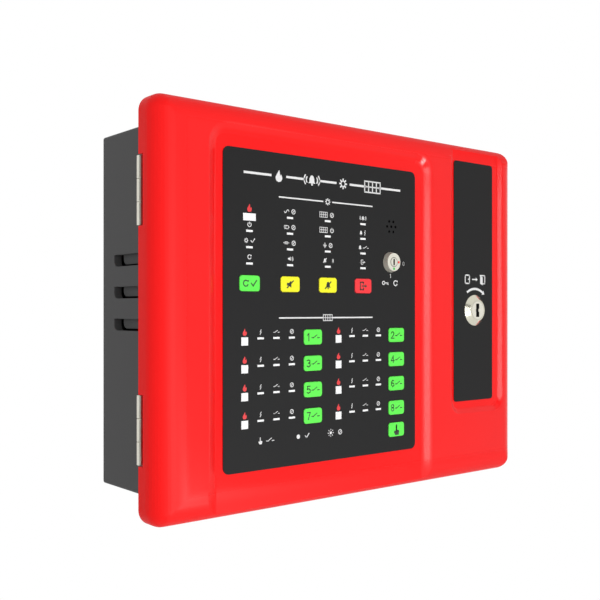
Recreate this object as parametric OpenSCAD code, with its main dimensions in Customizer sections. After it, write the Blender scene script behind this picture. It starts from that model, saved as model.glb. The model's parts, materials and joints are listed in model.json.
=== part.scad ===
// Fire alarm control panel: a steel back box for the wall, a hinged moulded door with keys,
// indicators, a key switch and a cam lock, and the boards, supply and batteries inside.
// Each piece is drawn with the panel on its back (x right, y up the wall, z out of the wall)
// and is then stood up, so the wall is the plane y = 0 and the door faces -y.

/* [Door moulding] */
// Width of the door
door_w = 334; // [330:1:420]
// Height of the door
door_h = 259; // [250:1:330]
// Depth of the door from its front face to its rear rim
door_d = 22; // [21:0.5:32]
// How far the door stands past the box at its sides and at its ends
door_overhang = [14, 13.25]; // [12:0.25:20]
// Thickness of the moulded wall
door_wall = 3; // [2.4:0.1:4]
// Radius of the rounded front edges
edge_r = 14; // [8:0.5:15]
// Radius of the outline's corners
corner_r = 10; // [8:0.5:24]
// Thickness of the floor behind each recess
floor_t = 2.5; // [2:0.1:4]
// Thickness of the rib that closes the gap to the box
skirt_t = 2; // [1.6:0.1:3]

/* [Main recess] */
// Depth of the recess that holds the large label
main_depth = 4; // [3:0.1:5]
// Sideways run of its sloped wall
main_run = 8; // [6:0.5:10]
// Radius that the eased foot and lip of the wall follow
main_ease = 2; // [1:0.1:2.4]
// Corner radius of its floor
main_floor_r = 7; // [5:0.5:12]
// Bare floor left of, right of and above the large label
main_margins = [5, 7.2, 6.9]; // [4.5:0.1:9]
// Width of the large label
main_label_w = 171.2; // [170:0.2:178]
// Height of the large label
main_label_h = 203.8; // [198:0.2:210]
// Left edge of the large label, from the door's left edge
main_label_left = 48.5; // [46:0.1:60]

/* [Side recess] */
// Depth of the recess that holds the narrow label
side_depth = 2.8; // [2.4:0.1:3.4]
// Sideways run of its sloped wall
side_run = 4.8; // [4:0.1:6]
// Radius that the eased foot and lip of the wall follow
side_ease = 1.2; // [0.8:0.1:1.6]
// Corner radius of its floor
side_floor_r = 5.6; // [4:0.1:9]
// Bare floor left of, right of and below the narrow label
side_margins = [1, 6, 5]; // [1:0.1:7]
// Width of the narrow label
side_label_w = 46; // [40:1:50]
// Height of the narrow label
side_label_h = 186; // [160:1:200]
// Right edge of the narrow label, from the door's right edge
side_label_right = 26.2; // [26:0.1:40]
// Top edge of the narrow label, from the door's top edge
side_label_top = 14; // [13:0.1:30]

/* [Labels and indicators] */
// Thickness of both labels
label_t = 0.5; // [0.3:0.1:0.8]
// Distance between the columns of system indicators
column_pitch = 32.75; // [30:0.25:34]
// Distance between the rows of system indicators
row_pitch = 10.3; // [9:0.1:11]
// Height of the first row of system indicators above the middle
first_row = 60.4; // [58:0.1:62]
// Distance between the windows of one zone
zone_pitch = 12.75; // [12:0.05:13]
// Distance between the rows of zones
zone_row_pitch = 17.5; // [16:0.1:18]
// Height of the first row of zones above the middle
first_zone_row = -17.9; // [-20:0.1:-17]
// Distance between the two groups of zones
zone_group_pitch = 79; // [76:0.5:80]
// Width and height of a small window
small_window = [5.1, 1.3]; // [1.2:0.1:7]
// Width and height of a zone's alarm window
zone_window = [5.2, 5.2]; // [4:0.1:7]
// Width and height of the general alarm window
alarm_window = [9.8, 4.6]; // [4:0.1:12]
// Clearance round each window
window_clear = 0.1; // [0.05:0.05:0.2]

/* [Keys] */
// Width of a key
key_w = 15.6; // [13:0.1:17]
// Height of a key
key_h = 10; // [9:0.1:12]
// Corner radius of a key
key_r = 2; // [1:0.1:3]
// Clearance between a key and its hole
key_clear = 0.25; // [0.15:0.05:0.4]
// How far a key stands out of the label
key_proud = 0.4; // [0.2:0.1:0.8]
// How far a key travels
key_travel = 0.5; // [0.3:0.05:0.8]
// How far the rim behind a key reaches past its hole
key_rim = 1; // [0.6:0.1:1.5]

/* [Cam lock] */
// Axis of the lock, from the door's right edge
lock_right = 47.6; // [46:0.1:60]
// Diameter of the threaded barrel
lock_barrel_d = 18; // [16.5:0.1:22]
// Diameter of the collar where it meets the label
lock_collar_d = 24; // [23.5:0.5:30]
// Diameter of the collar's face
lock_face_d = 17; // [16.2:0.1:20]
// Height of the collar
lock_collar_h = 2.8; // [2:0.1:6]
// Diameter of the turning plug
lock_plug_d = 14; // [12.5:0.5:15]
// Reach of the cam from the lock's axis
cam_reach = 26; // [24:0.5:27]
// Width of the cam
cam_w = 16; // [12:0.5:18]

/* [Key switch] */
// Diameter of the head where it meets the label
switch_head_d = 14.8; // [14:0.1:17]
// Diameter of the head's face
switch_face_d = 12.8; // [11:0.1:14]
// Height of the head
switch_head_h = 3.6; // [3:0.1:6]
// Diameter of the threaded body
switch_body_d = 12; // [10:0.1:12.5]
// Diameter of the turning plug
switch_plug_d = 6.6; // [5:0.1:8]

/* [Hinges] */
// Length of each hinge
hinge_len = 42; // [36:1:56]
// Distance between the hinges' middles
hinge_spacing = 144; // [120:1:170]
// Outside diameter of the barrel
hinge_barrel_d = 4.4; // [4:0.1:4.8]
// Diameter of the pin
hinge_pin_d = 2; // [1.6:0.1:2.2]
// Thickness of the leaves
leaf_t = 1.2; // [1:0.1:1.3]
// Depth of the notch for the barrel in the door's rim
hinge_notch = 5.2; // [4:0.1:7]

/* [Box] */
// Depth of the box from the wall to its front flange
box_d = 70; // [68:0.5:90]
// Thickness of the sheet
sheet_t = 1.2; // [1:0.1:1.6]
// Width of the inward front flange
flange_w = 15; // [12:0.5:17]
// Gap between the flange and the door's rim
door_gap = 3; // [2.8:0.1:5]
// Length of a louvre
louvre_len = 43; // [30:1:46]
// Height of a louvre
louvre_h = 7.7; // [6:0.1:10]
// How far a louvre is pressed in
louvre_depth = 4; // [3:0.1:6]
// Width of a louvre's slit at its rear end and along its bottom
louvre_slit = [5.5, 1.4]; // [1:0.1:7]
// Distance between louvres
louvre_pitch = 20.9; // [16:0.1:24]
// Sideways distance between the wall screws
wall_span_x = 282; // [278:1:284]
// Upright distance between the wall screws
wall_span_z = 145; // [120:1:160]
// Diameter of the wall screw holes
wall_hole_d = 6; // [5:0.1:7]
// Width and height of the cable entry in the back
cable_slot = [120, 16]; // [10:1:130]

/* [Inside] */
// Width, height and thickness of the main board
main_board = [200, 112, 1.6]; // [1:0.1:210]
// Height of the main board's spacers
spacer_h = 10; // [6:0.5:14]
// Width, height and depth of a battery
battery = [97, 52, 43]; // [30:1:98]
// Width, height and depth of the transformer's core
core = [56, 47, 22]; // [18:1:58]

/* [Hidden] */
$fn = 64;

// Small overlap that keeps cuts open
eps = 0.5;
// Running clearance of pins and plugs, on the radius
run_clear = 0.05;
// Clearance of screws and barrels in their holes, on the radius
hole_clear = 0.15;

// Levels above the wall
rim_z = box_d + door_gap;
front_z = rim_z + door_d;
main_floor_z = front_z - main_depth;
side_floor_z = front_z - side_depth;
main_back_z = main_floor_z - floor_t;
side_back_z = side_floor_z - floor_t;
main_face_z = main_floor_z + label_t;
side_face_z = side_floor_z + label_t;
board_gap = 6;
display_t = 1.6;
display_front_z = main_back_z - board_gap;
display_rear_z = display_front_z - display_t;

// Box
box_w = door_w - 2 * door_overhang[0];
box_h = door_h - 2 * door_overhang[1];
box_in_x = box_w / 2 - sheet_t;
box_in_y = box_h / 2 - sheet_t;

// Label places
main_x = -door_w / 2 + main_label_left + main_label_w / 2;
side_x = door_w / 2 - side_label_right - side_label_w / 2;
side_y = door_h / 2 - side_label_top - side_label_h / 2;
lock_at = [door_w / 2 - lock_right, 0];
switch_at = [main_x + 60, 34.6];
grille_at = [main_x + 60.9, 60.3];
grille_pitch = 4.2;
grille_hole_d = 2;

// Indicator places
columns = [for (i = [-2:1]) main_x + i * column_pitch];
alarm_drop = 1.5;
zone_first_x = main_x - 56.7;
zone_alarm_gap = 12.5;
zone_key_gap = 43.4;
zone_alarm_drop = 1.7;
zone_at = [for (r = [0:3]) for (g = [0:1])
    [zone_first_x + g * zone_group_pitch, first_zone_row - r * zone_row_pitch]];
system_windows = [for (c = [0:3]) for (r = [0:3]) if (c > 0 || r > 0)
    [columns[c], first_row - r * row_pitch]];
zone_small_windows = [for (p = zone_at) for (i = [0:2]) [p[0] + i * zone_pitch, p[1]]];
zone_alarm_windows = [for (p = zone_at) [p[0] - zone_alarm_gap, p[1] - zone_alarm_drop]];
alarm_at = [columns[0], first_row - alarm_drop];
windows = concat(
    [[alarm_at, alarm_window]],
    [for (p = concat(system_windows, zone_small_windows)) [p, small_window]],
    [for (p = zone_alarm_windows) [p, zone_window]]);

// Key places, in the order of the key nodes
key_row_y = 17;
touch_key_y = -86.3;
zone_keys = [for (p = zone_at) [p[0] + zone_key_gap, p[1]]];
key_at = concat(
    [for (c = columns) [c, key_row_y]],
    zone_keys,
    [[zone_keys[1][0], touch_key_y]]);

// Display board
display_size = [main_label_w - 7, main_label_h - 7];
boss_inset = 4.5;
boss_d = 6.4;
boss_x = display_size[0] / 2 - boss_inset;
boss_y = display_size[1] / 2 - boss_inset;
boss_at = [for (p = [[-1, 1], [1, 1], [-1, 0], [1, 0], [-1, -1], [1, -1]])
    [main_x + p[0] * boss_x, p[1] * boss_y]];
small_screw_r = 1.45;
small_head_r = 2.8;
small_head_h = 2;
screw_bite = 5;
switch_board_gap = 2.5;

// Hinges
hinge_x = -door_w / 2 + hinge_barrel_d / 2;
leaf_gap = 1;
hinge_z = box_d + leaf_t + leaf_gap / 2;
door_leaf_z = hinge_z + leaf_gap / 2;
hinge_at = [-hinge_spacing / 2, hinge_spacing / 2];
knuckle = hinge_len / 3;
knuckle_gap = 0.2;
notch_gap = 0.5;
leaf_screw_at = [-hinge_len / 2 + 9, hinge_len / 2 - 9];
leaf_end_x = -box_w / 2 + flange_w - 2;
leaf_screw_x = leaf_end_x - 4.5;
hinge_boss_d = 9;

// Lock and key switch
lock_barrel_len = 22.5;
lock_nut_af = 24;
lock_nut_h = 4.5;
cam_t = 2;
cam_gap = 0.5;
cam_front_z = box_d - sheet_t - cam_gap;
cam_square = 8;
cam_screw_r = 1.95;
switch_depth = 20;
switch_nut_af = 16;
switch_nut_h = 2.6;
switch_plug_len = 18;
plug_proud = 0.1;
plug_end_gap = 0.3;
switch_post_len = 4;
switch_face_z = main_face_z + switch_head_h;
lock_face_z = side_face_z + lock_collar_h;

// Inside the box
board_x = box_in_x - main_board[0] / 2 - 16;
board_y = box_in_y - main_board[1] / 2 - 32;
board_z = sheet_t + spacer_h;
board_top_z = board_z + main_board[2];
spacer_at = [for (p = [[-1, -1], [0, -1], [1, -1], [-1, 1], [0, 1], [1, 1]])
    [board_x + p[0] * (main_board[0] / 2 - 5), board_y + p[1] * (main_board[1] / 2 - 5)]];
spacer_d = 7;
battery_gap = 0.6;
battery_x0 = box_in_x - 25 - 2 * battery[0] - battery_gap;
battery_tab_h = 6;
strap_t = 1.5;
strap_h = 16;
strap_foot = 9;
strap_y = -box_in_y + battery[1] * 0.55;
core_x = -box_in_x + 18 + core[0] / 2;
core_y = -box_in_y + 14 + core[1] / 2;
core_z = sheet_t + 13;
core_limb = 14;
core_window = [10, 31];
coil_wrap = 9;
bracket_t = 1.2;
bracket_foot = 12;
mains_x = -box_in_x + 38;
mains_y = box_in_y - 50;
cable_slot_y = box_in_y - 16;
louvre_z = 15.5 + louvre_len / 2;
louvre_mid = 11.5;
louvre_r = 4;
knockout_d = 20.5;
knockout_pitch = 42;
knockout_z = 38;
knockout_groove = [0.7, 0.7];

// Shared shapes
module upright() {
    rotate([90, 0, 0]) children();
}

module at_each(places) {
    for (p = places) translate([p[0], p[1], 0]) children();
}

// Flat outline with rounded corners
module rounded_rect(w, h, r) {
    square([w, h - 2 * r], center = true);
    square([w - 2 * r, h], center = true);
    for (sx = [-1, 1]) for (sy = [-1, 1])
        translate([sx * (w / 2 - r), sy * (h / 2 - r)]) circle(r);
}

module slab(w, h, r, z0, z1) {
    translate([0, 0, z0]) linear_extrude(z1 - z0) rounded_rect(w, h, r);
}

module rod(r, z0, z1) {
    translate([0, 0, z0]) cylinder(r = r, h = z1 - z0);
}

// Screw with a pan head below z0 and its shank reaching up
module pan_screw(r, head_r, head_h, z0, reach) {
    rod(r, z0 - eps, z0 + reach);
    rod(head_r, z0 - head_h, z0);
}

// Section across a block whose two front edges are rounded
module crown_section(w, r, d) {
    translate([-w / 2, 0]) square([w, d - r]);
    translate([-w / 2 + r, 0]) square([w - 2 * r, d]);
    for (s = [-1, 1]) translate([s * (w / 2 - r), d - r]) circle(r);
}

// Block with rounded corners and rounded front edges: two crowned bars cross, and each corner
// is the same edge turned about the outline's own corner centre
module rounded_block(w, h, corner, r, d) {
    ax = w / 2 - corner;
    ay = h / 2 - corner;
    intersection() {
        rotate([90, 0, 0]) linear_extrude(h, center = true) crown_section(w, r, d);
        rotate([90, 0, 90]) linear_extrude(w, center = true) crown_section(h, r, d);
        union() {
            translate([-ax, -h / 2, 0]) cube([2 * ax, h, d]);
            translate([-w / 2, -ay, 0]) cube([w, 2 * ay, d]);
        }
    }
    for (q = [[1, 1, 0], [-1, 1, 90], [-1, -1, 180], [1, -1, 270]])
        translate([q[0] * ax, q[1] * ay, 0]) rotate([0, 0, q[2]]) rotate_extrude(angle = 90)
            intersection() {
                square([corner, d]);
                translate([corner - w / 2, 0]) crown_section(w, r, d);
            }
}

// Section of a recess: a floor that rises to the front face along a straight slope, whose foot
// and lip are eased by a narrow flat at half the slope
module recess_section(floor_r, run, depth, ease) {
    half_slope = depth / (run + sqrt(run * run - depth * (4 * ease - depth)));
    slope = 2 * atan(half_slope);
    out = ease * sin(slope);
    up = ease * (1 - cos(slope));
    lip = floor_r + run;
    polygon([[0, 0], [floor_r, 0], [floor_r + out, up], [lip - out, depth - up],
        [lip, depth], [lip + eps / half_slope, depth + eps], [0, depth + eps]]);
}

// Recess from x0 to x1 whose closed end is at y1 and which runs off the door the other way
module open_recess(x0, x1, y1, floor_r, run, depth, ease, reach) {
    ax0 = x0 + floor_r;
    ax1 = x1 - floor_r;
    ay = y1 - floor_r;
    translate([ax0, ay - reach, 0]) cube([ax1 - ax0, reach, depth + eps]);
    translate([ax1, ay - reach / 2, 0]) rotate([90, 0, 0])
        linear_extrude(reach, center = true) recess_section(floor_r, run, depth, ease);
    translate([ax0, ay - reach / 2, 0]) mirror([1, 0, 0]) rotate([90, 0, 0])
        linear_extrude(reach, center = true) recess_section(floor_r, run, depth, ease);
    translate([(ax0 + ax1) / 2, ay, 0]) rotate([90, 0, 90])
        linear_extrude(ax1 - ax0, center = true) recess_section(floor_r, run, depth, ease);
    translate([ax1, ay, 0]) rotate_extrude(angle = 90) recess_section(floor_r, run, depth, ease);
    translate([ax0, ay, 0]) rotate([0, 0, 90])
        rotate_extrude(angle = 90) recess_section(floor_r, run, depth, ease);
}

// Door moulding
main_x0 = main_x - main_label_w / 2 - main_margins[0];
main_x1 = main_x + main_label_w / 2 + main_margins[1];
main_y1 = main_label_h / 2 + main_margins[2];
side_x0 = side_x - side_label_w / 2 - side_margins[0];
side_x1 = side_x + side_label_w / 2 + side_margins[1];
side_y0 = side_y - side_label_h / 2 - side_margins[2];

module recesses() {
    translate([0, 0, main_floor_z])
        open_recess(main_x0, main_x1, main_y1, main_floor_r, main_run, main_depth, main_ease,
            door_h);
    translate([0, 0, side_floor_z]) mirror([0, 1, 0])
        open_recess(side_x0, side_x1, -side_y0, side_floor_r, side_run, side_depth, side_ease,
            door_h);
}

// Thicker wall behind each recess, so that the moulding keeps its thickness there
module recess_backs() {
    translate([main_x0 - main_run, -door_h / 2, main_back_z])
        cube([main_x1 - main_x0 + 2 * main_run, door_h / 2 + main_y1 + main_run, door_d]);
    translate([side_x0 - side_run, side_y0 - side_run, side_back_z])
        cube([side_x1 - side_x0 + 2 * side_run, door_h / 2 - side_y0 + side_run, door_d]);
}

module door_skin() {
    difference() {
        translate([0, 0, rim_z]) rounded_block(door_w, door_h, corner_r, edge_r, door_d);
        difference() {
            translate([0, 0, rim_z - eps])
                rounded_block(door_w - 2 * door_wall, door_h - 2 * door_wall,
                    corner_r - door_wall, edge_r - door_wall, door_d - door_wall + eps);
            recess_backs();
        }
    }
}

// Rib frame that closes on the box's flange
module door_skirt() {
    w = box_w - flange_w + skirt_t;
    h = box_h - flange_w + skirt_t;
    top_z = front_z - door_wall + eps;
    difference() {
        slab(w, h, 4, box_d + eps, top_z);
        slab(w - 2 * skirt_t, h - 2 * skirt_t, 2, box_d, front_z);
        for (y = hinge_at) translate([-door_w / 2, y - hinge_len / 2 - 1, box_d])
            cube([door_w / 4, hinge_len + 2, 2 * leaf_t + leaf_gap + eps]);
    }
}

module hinge_bosses() {
    for (y = hinge_at) for (s = leaf_screw_at) translate([leaf_screw_x, y + s, 0])
        rod(hinge_boss_d / 2, door_leaf_z + leaf_t, front_z - door_wall + eps);
}

module door_holes() {
    for (w = windows) translate([w[0][0], w[0][1], main_back_z - eps])
        linear_extrude(floor_t + 2 * eps)
            square([w[1][0] + 2 * window_clear, w[1][1] + 2 * window_clear], center = true);
    at_each(key_at)
        slab(key_w + 2 * key_clear, key_h + 2 * key_clear, key_r + key_clear,
            main_back_z - eps, main_floor_z + eps);
    grille_holes(main_back_z - eps, main_floor_z + eps);
    translate(switch_at) rod(switch_body_d / 2 + hole_clear, main_back_z - eps, main_floor_z + eps);
    translate(lock_at) rod(lock_barrel_d / 2 + hole_clear, side_back_z - eps, side_floor_z + eps);
    at_each(boss_at) rod(small_screw_r + run_clear, display_front_z - eps, main_back_z + 0.7);
    for (y = hinge_at) {
        for (s = leaf_screw_at) translate([leaf_screw_x, y + s, 0])
            rod(small_screw_r + run_clear, door_leaf_z, door_leaf_z + leaf_t + 10);
        translate([-door_w / 2 - eps, y - hinge_len / 2 - notch_gap, rim_z - eps])
            cube([hinge_barrel_d + 1 + eps, hinge_len + 2 * notch_gap, hinge_notch + eps]);
    }
}

module grille_holes(z0, z1) {
    translate(grille_at) {
        rod(grille_hole_d / 2, z0, z1);
        for (a = [0:60:300]) rotate([0, 0, a]) translate([grille_pitch, 0, 0])
            rod(grille_hole_d / 2, z0, z1);
    }
}

module door_shell() {
    color("#f02626") upright() difference() {
        union() {
            door_skin();
            door_skirt();
            hinge_bosses();
            at_each(boss_at) rod(boss_d / 2, display_front_z, main_back_z + eps);
        }
        recesses();
        door_holes();
    }
}

// Labels
module main_label() {
    color("#2e2e2e") upright() difference() {
        translate([main_x, 0, 0])
            slab(main_label_w, main_label_h, 4.5, main_floor_z, main_face_z);
        for (w = windows) translate([w[0][0], w[0][1], main_floor_z - eps])
            linear_extrude(label_t + 2 * eps)
                square([w[1][0] + 2 * window_clear, w[1][1] + 2 * window_clear], center = true);
        at_each(key_at)
            slab(key_w + 2 * key_clear, key_h + 2 * key_clear, key_r + key_clear,
                main_floor_z - eps, main_face_z + eps);
        grille_holes(main_floor_z - eps, main_face_z + eps);
        translate(switch_at)
            rod(switch_body_d / 2 + hole_clear, main_floor_z - eps, main_face_z + eps);
    }
}

module side_label() {
    color("#2e2e2e") upright() difference() {
        translate([side_x, side_y, 0])
            slab(side_label_w, side_label_h, 2.5, side_floor_z, side_face_z);
        translate(lock_at)
            rod(lock_barrel_d / 2 + hole_clear, side_floor_z - eps, side_face_z + eps);
    }
}

// Indicators: each window is a white light guide above its own lamp
window_proud = 0.1;
led_h = 2;
lamp_gap = 0.8;
module indicator_windows() {
    color("white") upright() for (w = windows)
        translate([w[0][0], w[0][1], display_front_z + led_h + lamp_gap])
            linear_extrude(main_face_z + window_proud - display_front_z - led_h - lamp_gap)
                square(w[1], center = true);
}

module indicator_leds() {
    led = [3.2, 1.6];
    color("ivory") upright() for (w = windows) translate([w[0][0], w[0][1], display_front_z]) {
        translate([-led[0] / 2, -led[1] / 2, 0]) cube([led[0], led[1], led_h / 2]);
        cylinder(d = led[1], h = led_h);
    }
}

// Display board behind the large label
module display_board() {
    color("#1f6b3a") upright() difference() {
        translate([main_x, 0, 0])
            slab(display_size[0], display_size[1], 2, display_rear_z, display_front_z);
        at_each(boss_at)
            rod(small_screw_r + hole_clear, display_rear_z - eps, display_front_z + eps);
        translate(switch_at)
            rod(switch_body_d / 2 + switch_board_gap, display_rear_z - eps, display_front_z + eps);
    }
}

module display_screws() {
    color("silver") upright() at_each(boss_at)
        pan_screw(small_screw_r, small_head_r, small_head_h, display_rear_z, display_t + screw_bite);
}

// Driver chips on the back of the display board, with their rows of legs
module display_chips() {
    color("#202020") upright()
        for (x = [-45, -15, 15]) translate([main_x + x, -52, display_rear_z])
            mirror([0, 0, 1]) chip(18, 7, 2.4, 8);
}

// Flat chip with legs along both long sides
module chip(w, h, t, legs) {
    leg = 0.6;
    translate([-w / 2, -h / 2, 0.3]) cube([w, h, t]);
    for (i = [0:legs - 1]) for (s = [0, 1]) mirror([0, s, 0])
        translate([(i + 0.5) * w / legs - w / 2 - leg / 2, h / 2 - leg, 0]) cube([leg, 1.6, 0.9]);
}

// Shrouded pin header, drawn upwards from the board
module box_header(w, h, t) {
    wall = 1;
    floor_h = 3;
    difference() {
        translate([-w / 2, -h / 2, 0]) cube([w, h, t]);
        translate([-w / 2 + wall, -h / 2 + wall, floor_h]) cube([w - 2 * wall, h - 2 * wall, t]);
        translate([-2.5, -h / 2 - eps, floor_h]) cube([5, wall + 2 * eps, t]);
    }
    for (i = [-3:3]) for (s = [-1, 1])
        translate([i * 2.54 - 0.3, s * 1.27 - 0.3, floor_h - 1]) cube([0.6, 0.6, t - floor_h]);
}

module display_header() {
    color("#303030") upright() translate([main_x, 30, display_rear_z])
        mirror([0, 0, 1]) box_header(24, 9, 8.5);
}

module tact_switches() {
    body = 6;
    body_h = 2.3;
    plunger_r = 1.7;
    color("#3a3a3a") upright() at_each(key_at) translate([0, 0, display_front_z]) {
        translate([-body / 2, -body / 2, 0]) cube([body, body, body_h]);
        cylinder(r = plunger_r, h = plunger_h);
    }
}

module buzzer() {
    buzzer_r = 6;
    sound_r = 1;
    color("#1a1a1a") upright() translate(grille_at) difference() {
        rod(buzzer_r, display_front_z, main_back_z - 0.4);
        rod(sound_r, main_back_z - 2, main_back_z);
    }
}

// Keys: a cap in its hole, a rim behind the floor and a stem over its switch
plunger_h = 2.9;
key_rest_gap = 0.1;
key_rim_t = 1;
module key_cap(at, tint) {
    stem_r = 1.6;
    rim_top = main_back_z - key_rest_gap;
    stem_end = display_front_z + plunger_h + key_travel + key_rest_gap;
    color(tint) upright() translate(at) {
        slab(key_w, key_h, key_r, rim_top - key_rim_t, main_face_z + key_proud);
        slab(key_w + 2 * key_rim, key_h + 2 * key_rim, key_r, rim_top - key_rim_t, rim_top);
        rod(stem_r, stem_end, rim_top - key_rim_t + eps);
    }
}

// Hinges: a barrel of three knuckles, the middle one on the box and the outer two on the door
module knuckle_rod(y0, y1) {
    translate([hinge_x, y0, hinge_z]) rotate([-90, 0, 0]) cylinder(d = hinge_barrel_d, h = y1 - y0);
}

module pin_bore() {
    translate([hinge_x, -hinge_len, hinge_z]) rotate([-90, 0, 0])
        cylinder(r = hinge_pin_d / 2 + run_clear, h = 2 * hinge_len);
}

module leaf_screw_hole(s, z0, z1) {
    translate([leaf_screw_x, s, z0]) cylinder(r = small_screw_r + hole_clear, h = z1 - z0);
}

module hinge_box_leaves() {
    half = knuckle / 2 - knuckle_gap / 2;
    color("#c9c6bb") upright() for (y = hinge_at) translate([0, y, 0]) difference() {
        union() {
            knuckle_rod(-half, half);
            translate([hinge_x, -half, box_d]) cube([leaf_end_x - hinge_x, 2 * half, leaf_t]);
            translate([-box_w / 2, -hinge_len / 2, box_d])
                cube([leaf_end_x + box_w / 2, hinge_len, leaf_t]);
        }
        pin_bore();
        for (s = leaf_screw_at) leaf_screw_hole(s, box_d - eps, box_d + leaf_t + eps);
    }
}

module hinge_door_leaves() {
    far = hinge_len / 2;
    near = knuckle / 2 + knuckle_gap / 2;
    color("#c9c6bb") upright() for (y = hinge_at) translate([0, y, 0]) difference() {
        union() {
            for (m = [0, 1]) mirror([0, m, 0]) {
                knuckle_rod(near, far);
                translate([hinge_x, near, door_leaf_z]) cube([leaf_end_x - hinge_x, far - near, leaf_t]);
            }
            translate([-box_w / 2, -far, door_leaf_z]) cube([leaf_end_x + box_w / 2, 2 * far, leaf_t]);
        }
        pin_bore();
        for (s = leaf_screw_at) leaf_screw_hole(s, door_leaf_z - eps, door_leaf_z + leaf_t + eps);
    }
}

module hinge_pins() {
    color("#b8b5aa") upright() for (y = hinge_at) translate([hinge_x, y, hinge_z]) rotate([-90, 0, 0])
        translate([0, 0, -hinge_len / 2]) cylinder(d = hinge_pin_d, h = hinge_len);
}

// Low heads, so that the two leaves can close on each other
low_head_h = 0.4;
module low_screw(z0, reach) {
    pan_screw(small_screw_r, small_head_r, low_head_h, z0, reach);
}

module hinge_box_screws() {
    color("silver") upright() for (y = hinge_at) for (s = leaf_screw_at)
        translate([leaf_screw_x, y + s, box_d + leaf_t]) mirror([0, 0, 1])
            low_screw(0, leaf_t + sheet_t + 2);
}

module hinge_door_screws() {
    color("silver") upright() for (y = hinge_at) for (s = leaf_screw_at)
        translate([leaf_screw_x, y + s, 0]) low_screw(door_leaf_z, leaf_t + 8);
}

// Key switch
module switch_body() {
    rear_z = main_face_z - switch_depth;
    lug = [0.8, 2.8];
    color("#d9d6cc") upright() translate(switch_at) difference() {
        union() {
            translate([0, 0, main_face_z])
                cylinder(d1 = switch_head_d, d2 = switch_face_d, h = switch_head_h);
            rod(switch_body_d / 2, rear_z, main_face_z + eps);
            for (x = [-3, 0, 3]) translate([x - lug[0] / 2, -lug[1] / 2, rear_z - switch_post_len])
                cube([lug[0], lug[1], switch_post_len + eps]);
        }
        rod(switch_plug_d / 2 + run_clear,
            switch_face_z - switch_plug_len - plug_end_gap, switch_face_z + eps);
    }
}

module switch_nut() {
    color("silver") upright() translate(switch_at) hex_nut(switch_nut_af, switch_body_d / 2 + run_clear,
        main_back_z - switch_nut_h, main_back_z);
}

module hex_nut(af, bore_r, z0, z1) {
    difference() {
        translate([0, 0, z0]) cylinder(d = af / cos(30), h = z1 - z0, $fn = 6);
        rod(bore_r, z0 - eps, z1 + eps);
    }
}

module switch_plug() {
    keyhole = [1.5, 3.6];
    key_depth = 8;
    color("#cfccc0") upright() translate(switch_at) difference() {
        rod(switch_plug_d / 2, switch_face_z - switch_plug_len, switch_face_z + plug_proud);
        slab(keyhole[0], keyhole[1], keyhole[0] / 2 - run_clear,
            switch_face_z - key_depth, switch_face_z + eps);
    }
}

// Cam lock
module lock_body() {
    rear_z = side_face_z - lock_barrel_len;
    color("#d6d3c6") upright() translate(lock_at) difference() {
        union() {
            translate([0, 0, side_face_z])
                cylinder(d1 = lock_collar_d, d2 = lock_face_d, h = lock_collar_h);
            rod(lock_barrel_d / 2, rear_z, side_face_z + eps);
        }
        rod(lock_plug_d / 2 + run_clear, rear_z - eps, lock_face_z + eps);
    }
}

module lock_nut() {
    color("silver") upright() translate(lock_at)
        hex_nut(lock_nut_af, lock_barrel_d / 2 + run_clear, side_back_z - lock_nut_h, side_back_z);
}

// Plug with a key slot that is narrower in the middle, and a square tail for the cam
module lock_plug() {
    slot = [2.8, 10.5];
    waist = 1.7;
    slot_depth = 9;
    color("#dcd9cd") upright() translate(lock_at) difference() {
        union() {
            rod(lock_plug_d / 2, cam_front_z, lock_face_z + plug_proud);
            translate([-cam_square / 2, -cam_square / 2, cam_front_z - cam_t])
                cube([cam_square, cam_square, cam_t + eps]);
        }
        for (s = [-1, 1]) translate([0, s * slot[1] / 3.2, 0])
            slab(slot[0], slot[1] * 0.375, 0.6, lock_face_z - slot_depth, lock_face_z + eps);
        slab(waist, slot[1] * 0.7, 0.4, lock_face_z - slot_depth, lock_face_z + eps);
        rod(cam_screw_r + run_clear, cam_front_z - cam_t - eps, cam_front_z + 9);
    }
}

module lock_cam() {
    color("#b9b7ae") upright() translate(lock_at) difference() {
        union() {
            rod(cam_w / 2, cam_front_z - cam_t, cam_front_z);
            translate([0, -cam_reach / 2, 0])
                slab(cam_w, cam_reach, 3, cam_front_z - cam_t, cam_front_z);
        }
        translate([-cam_square / 2 - run_clear, -cam_square / 2 - run_clear, cam_front_z - cam_t - eps])
            cube([cam_square + 2 * run_clear, cam_square + 2 * run_clear, cam_t + 2 * eps]);
    }
}

module cam_screw() {
    color("silver") upright() translate(lock_at)
        pan_screw(cam_screw_r, cam_square * 0.7, 2.2, cam_front_z - cam_t, 9);
}

// Steel back box
module louvre_outline(len, h, r) {
    translate([-len / 2, -h / 2 + r]) square([len, h - r]);
    translate([-len / 2 + r, -h / 2]) square([len - 2 * r, r]);
    for (s = [-1, 1]) translate([s * (len / 2 - r), -h / 2 + r]) circle(r);
}

// Stack of louvres on the left wall, pushed in by depth and grown by extra on every side
module louvre_stack(depth, extra, start) {
    for (i = [-1:1]) translate([-box_w / 2 + depth, louvre_mid + i * louvre_pitch, louvre_z])
        rotate([0, -90, 0]) linear_extrude(depth + start)
            louvre_outline(louvre_len + 2 * extra, louvre_h + 2 * extra, louvre_r + extra);
}

// Slit that leaves each louvre's floor joined to the wall at its front end and its top
module louvre_slits() {
    for (i = [-1:1])
        translate([-box_w / 2 + louvre_depth + 2 * sheet_t, louvre_mid + i * louvre_pitch, louvre_z])
            rotate([0, -90, 0]) linear_extrude(3 * sheet_t) difference() {
                louvre_outline(louvre_len, louvre_h, louvre_r);
                translate(louvre_slit) louvre_outline(louvre_len, louvre_h, louvre_r);
            }
}

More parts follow.
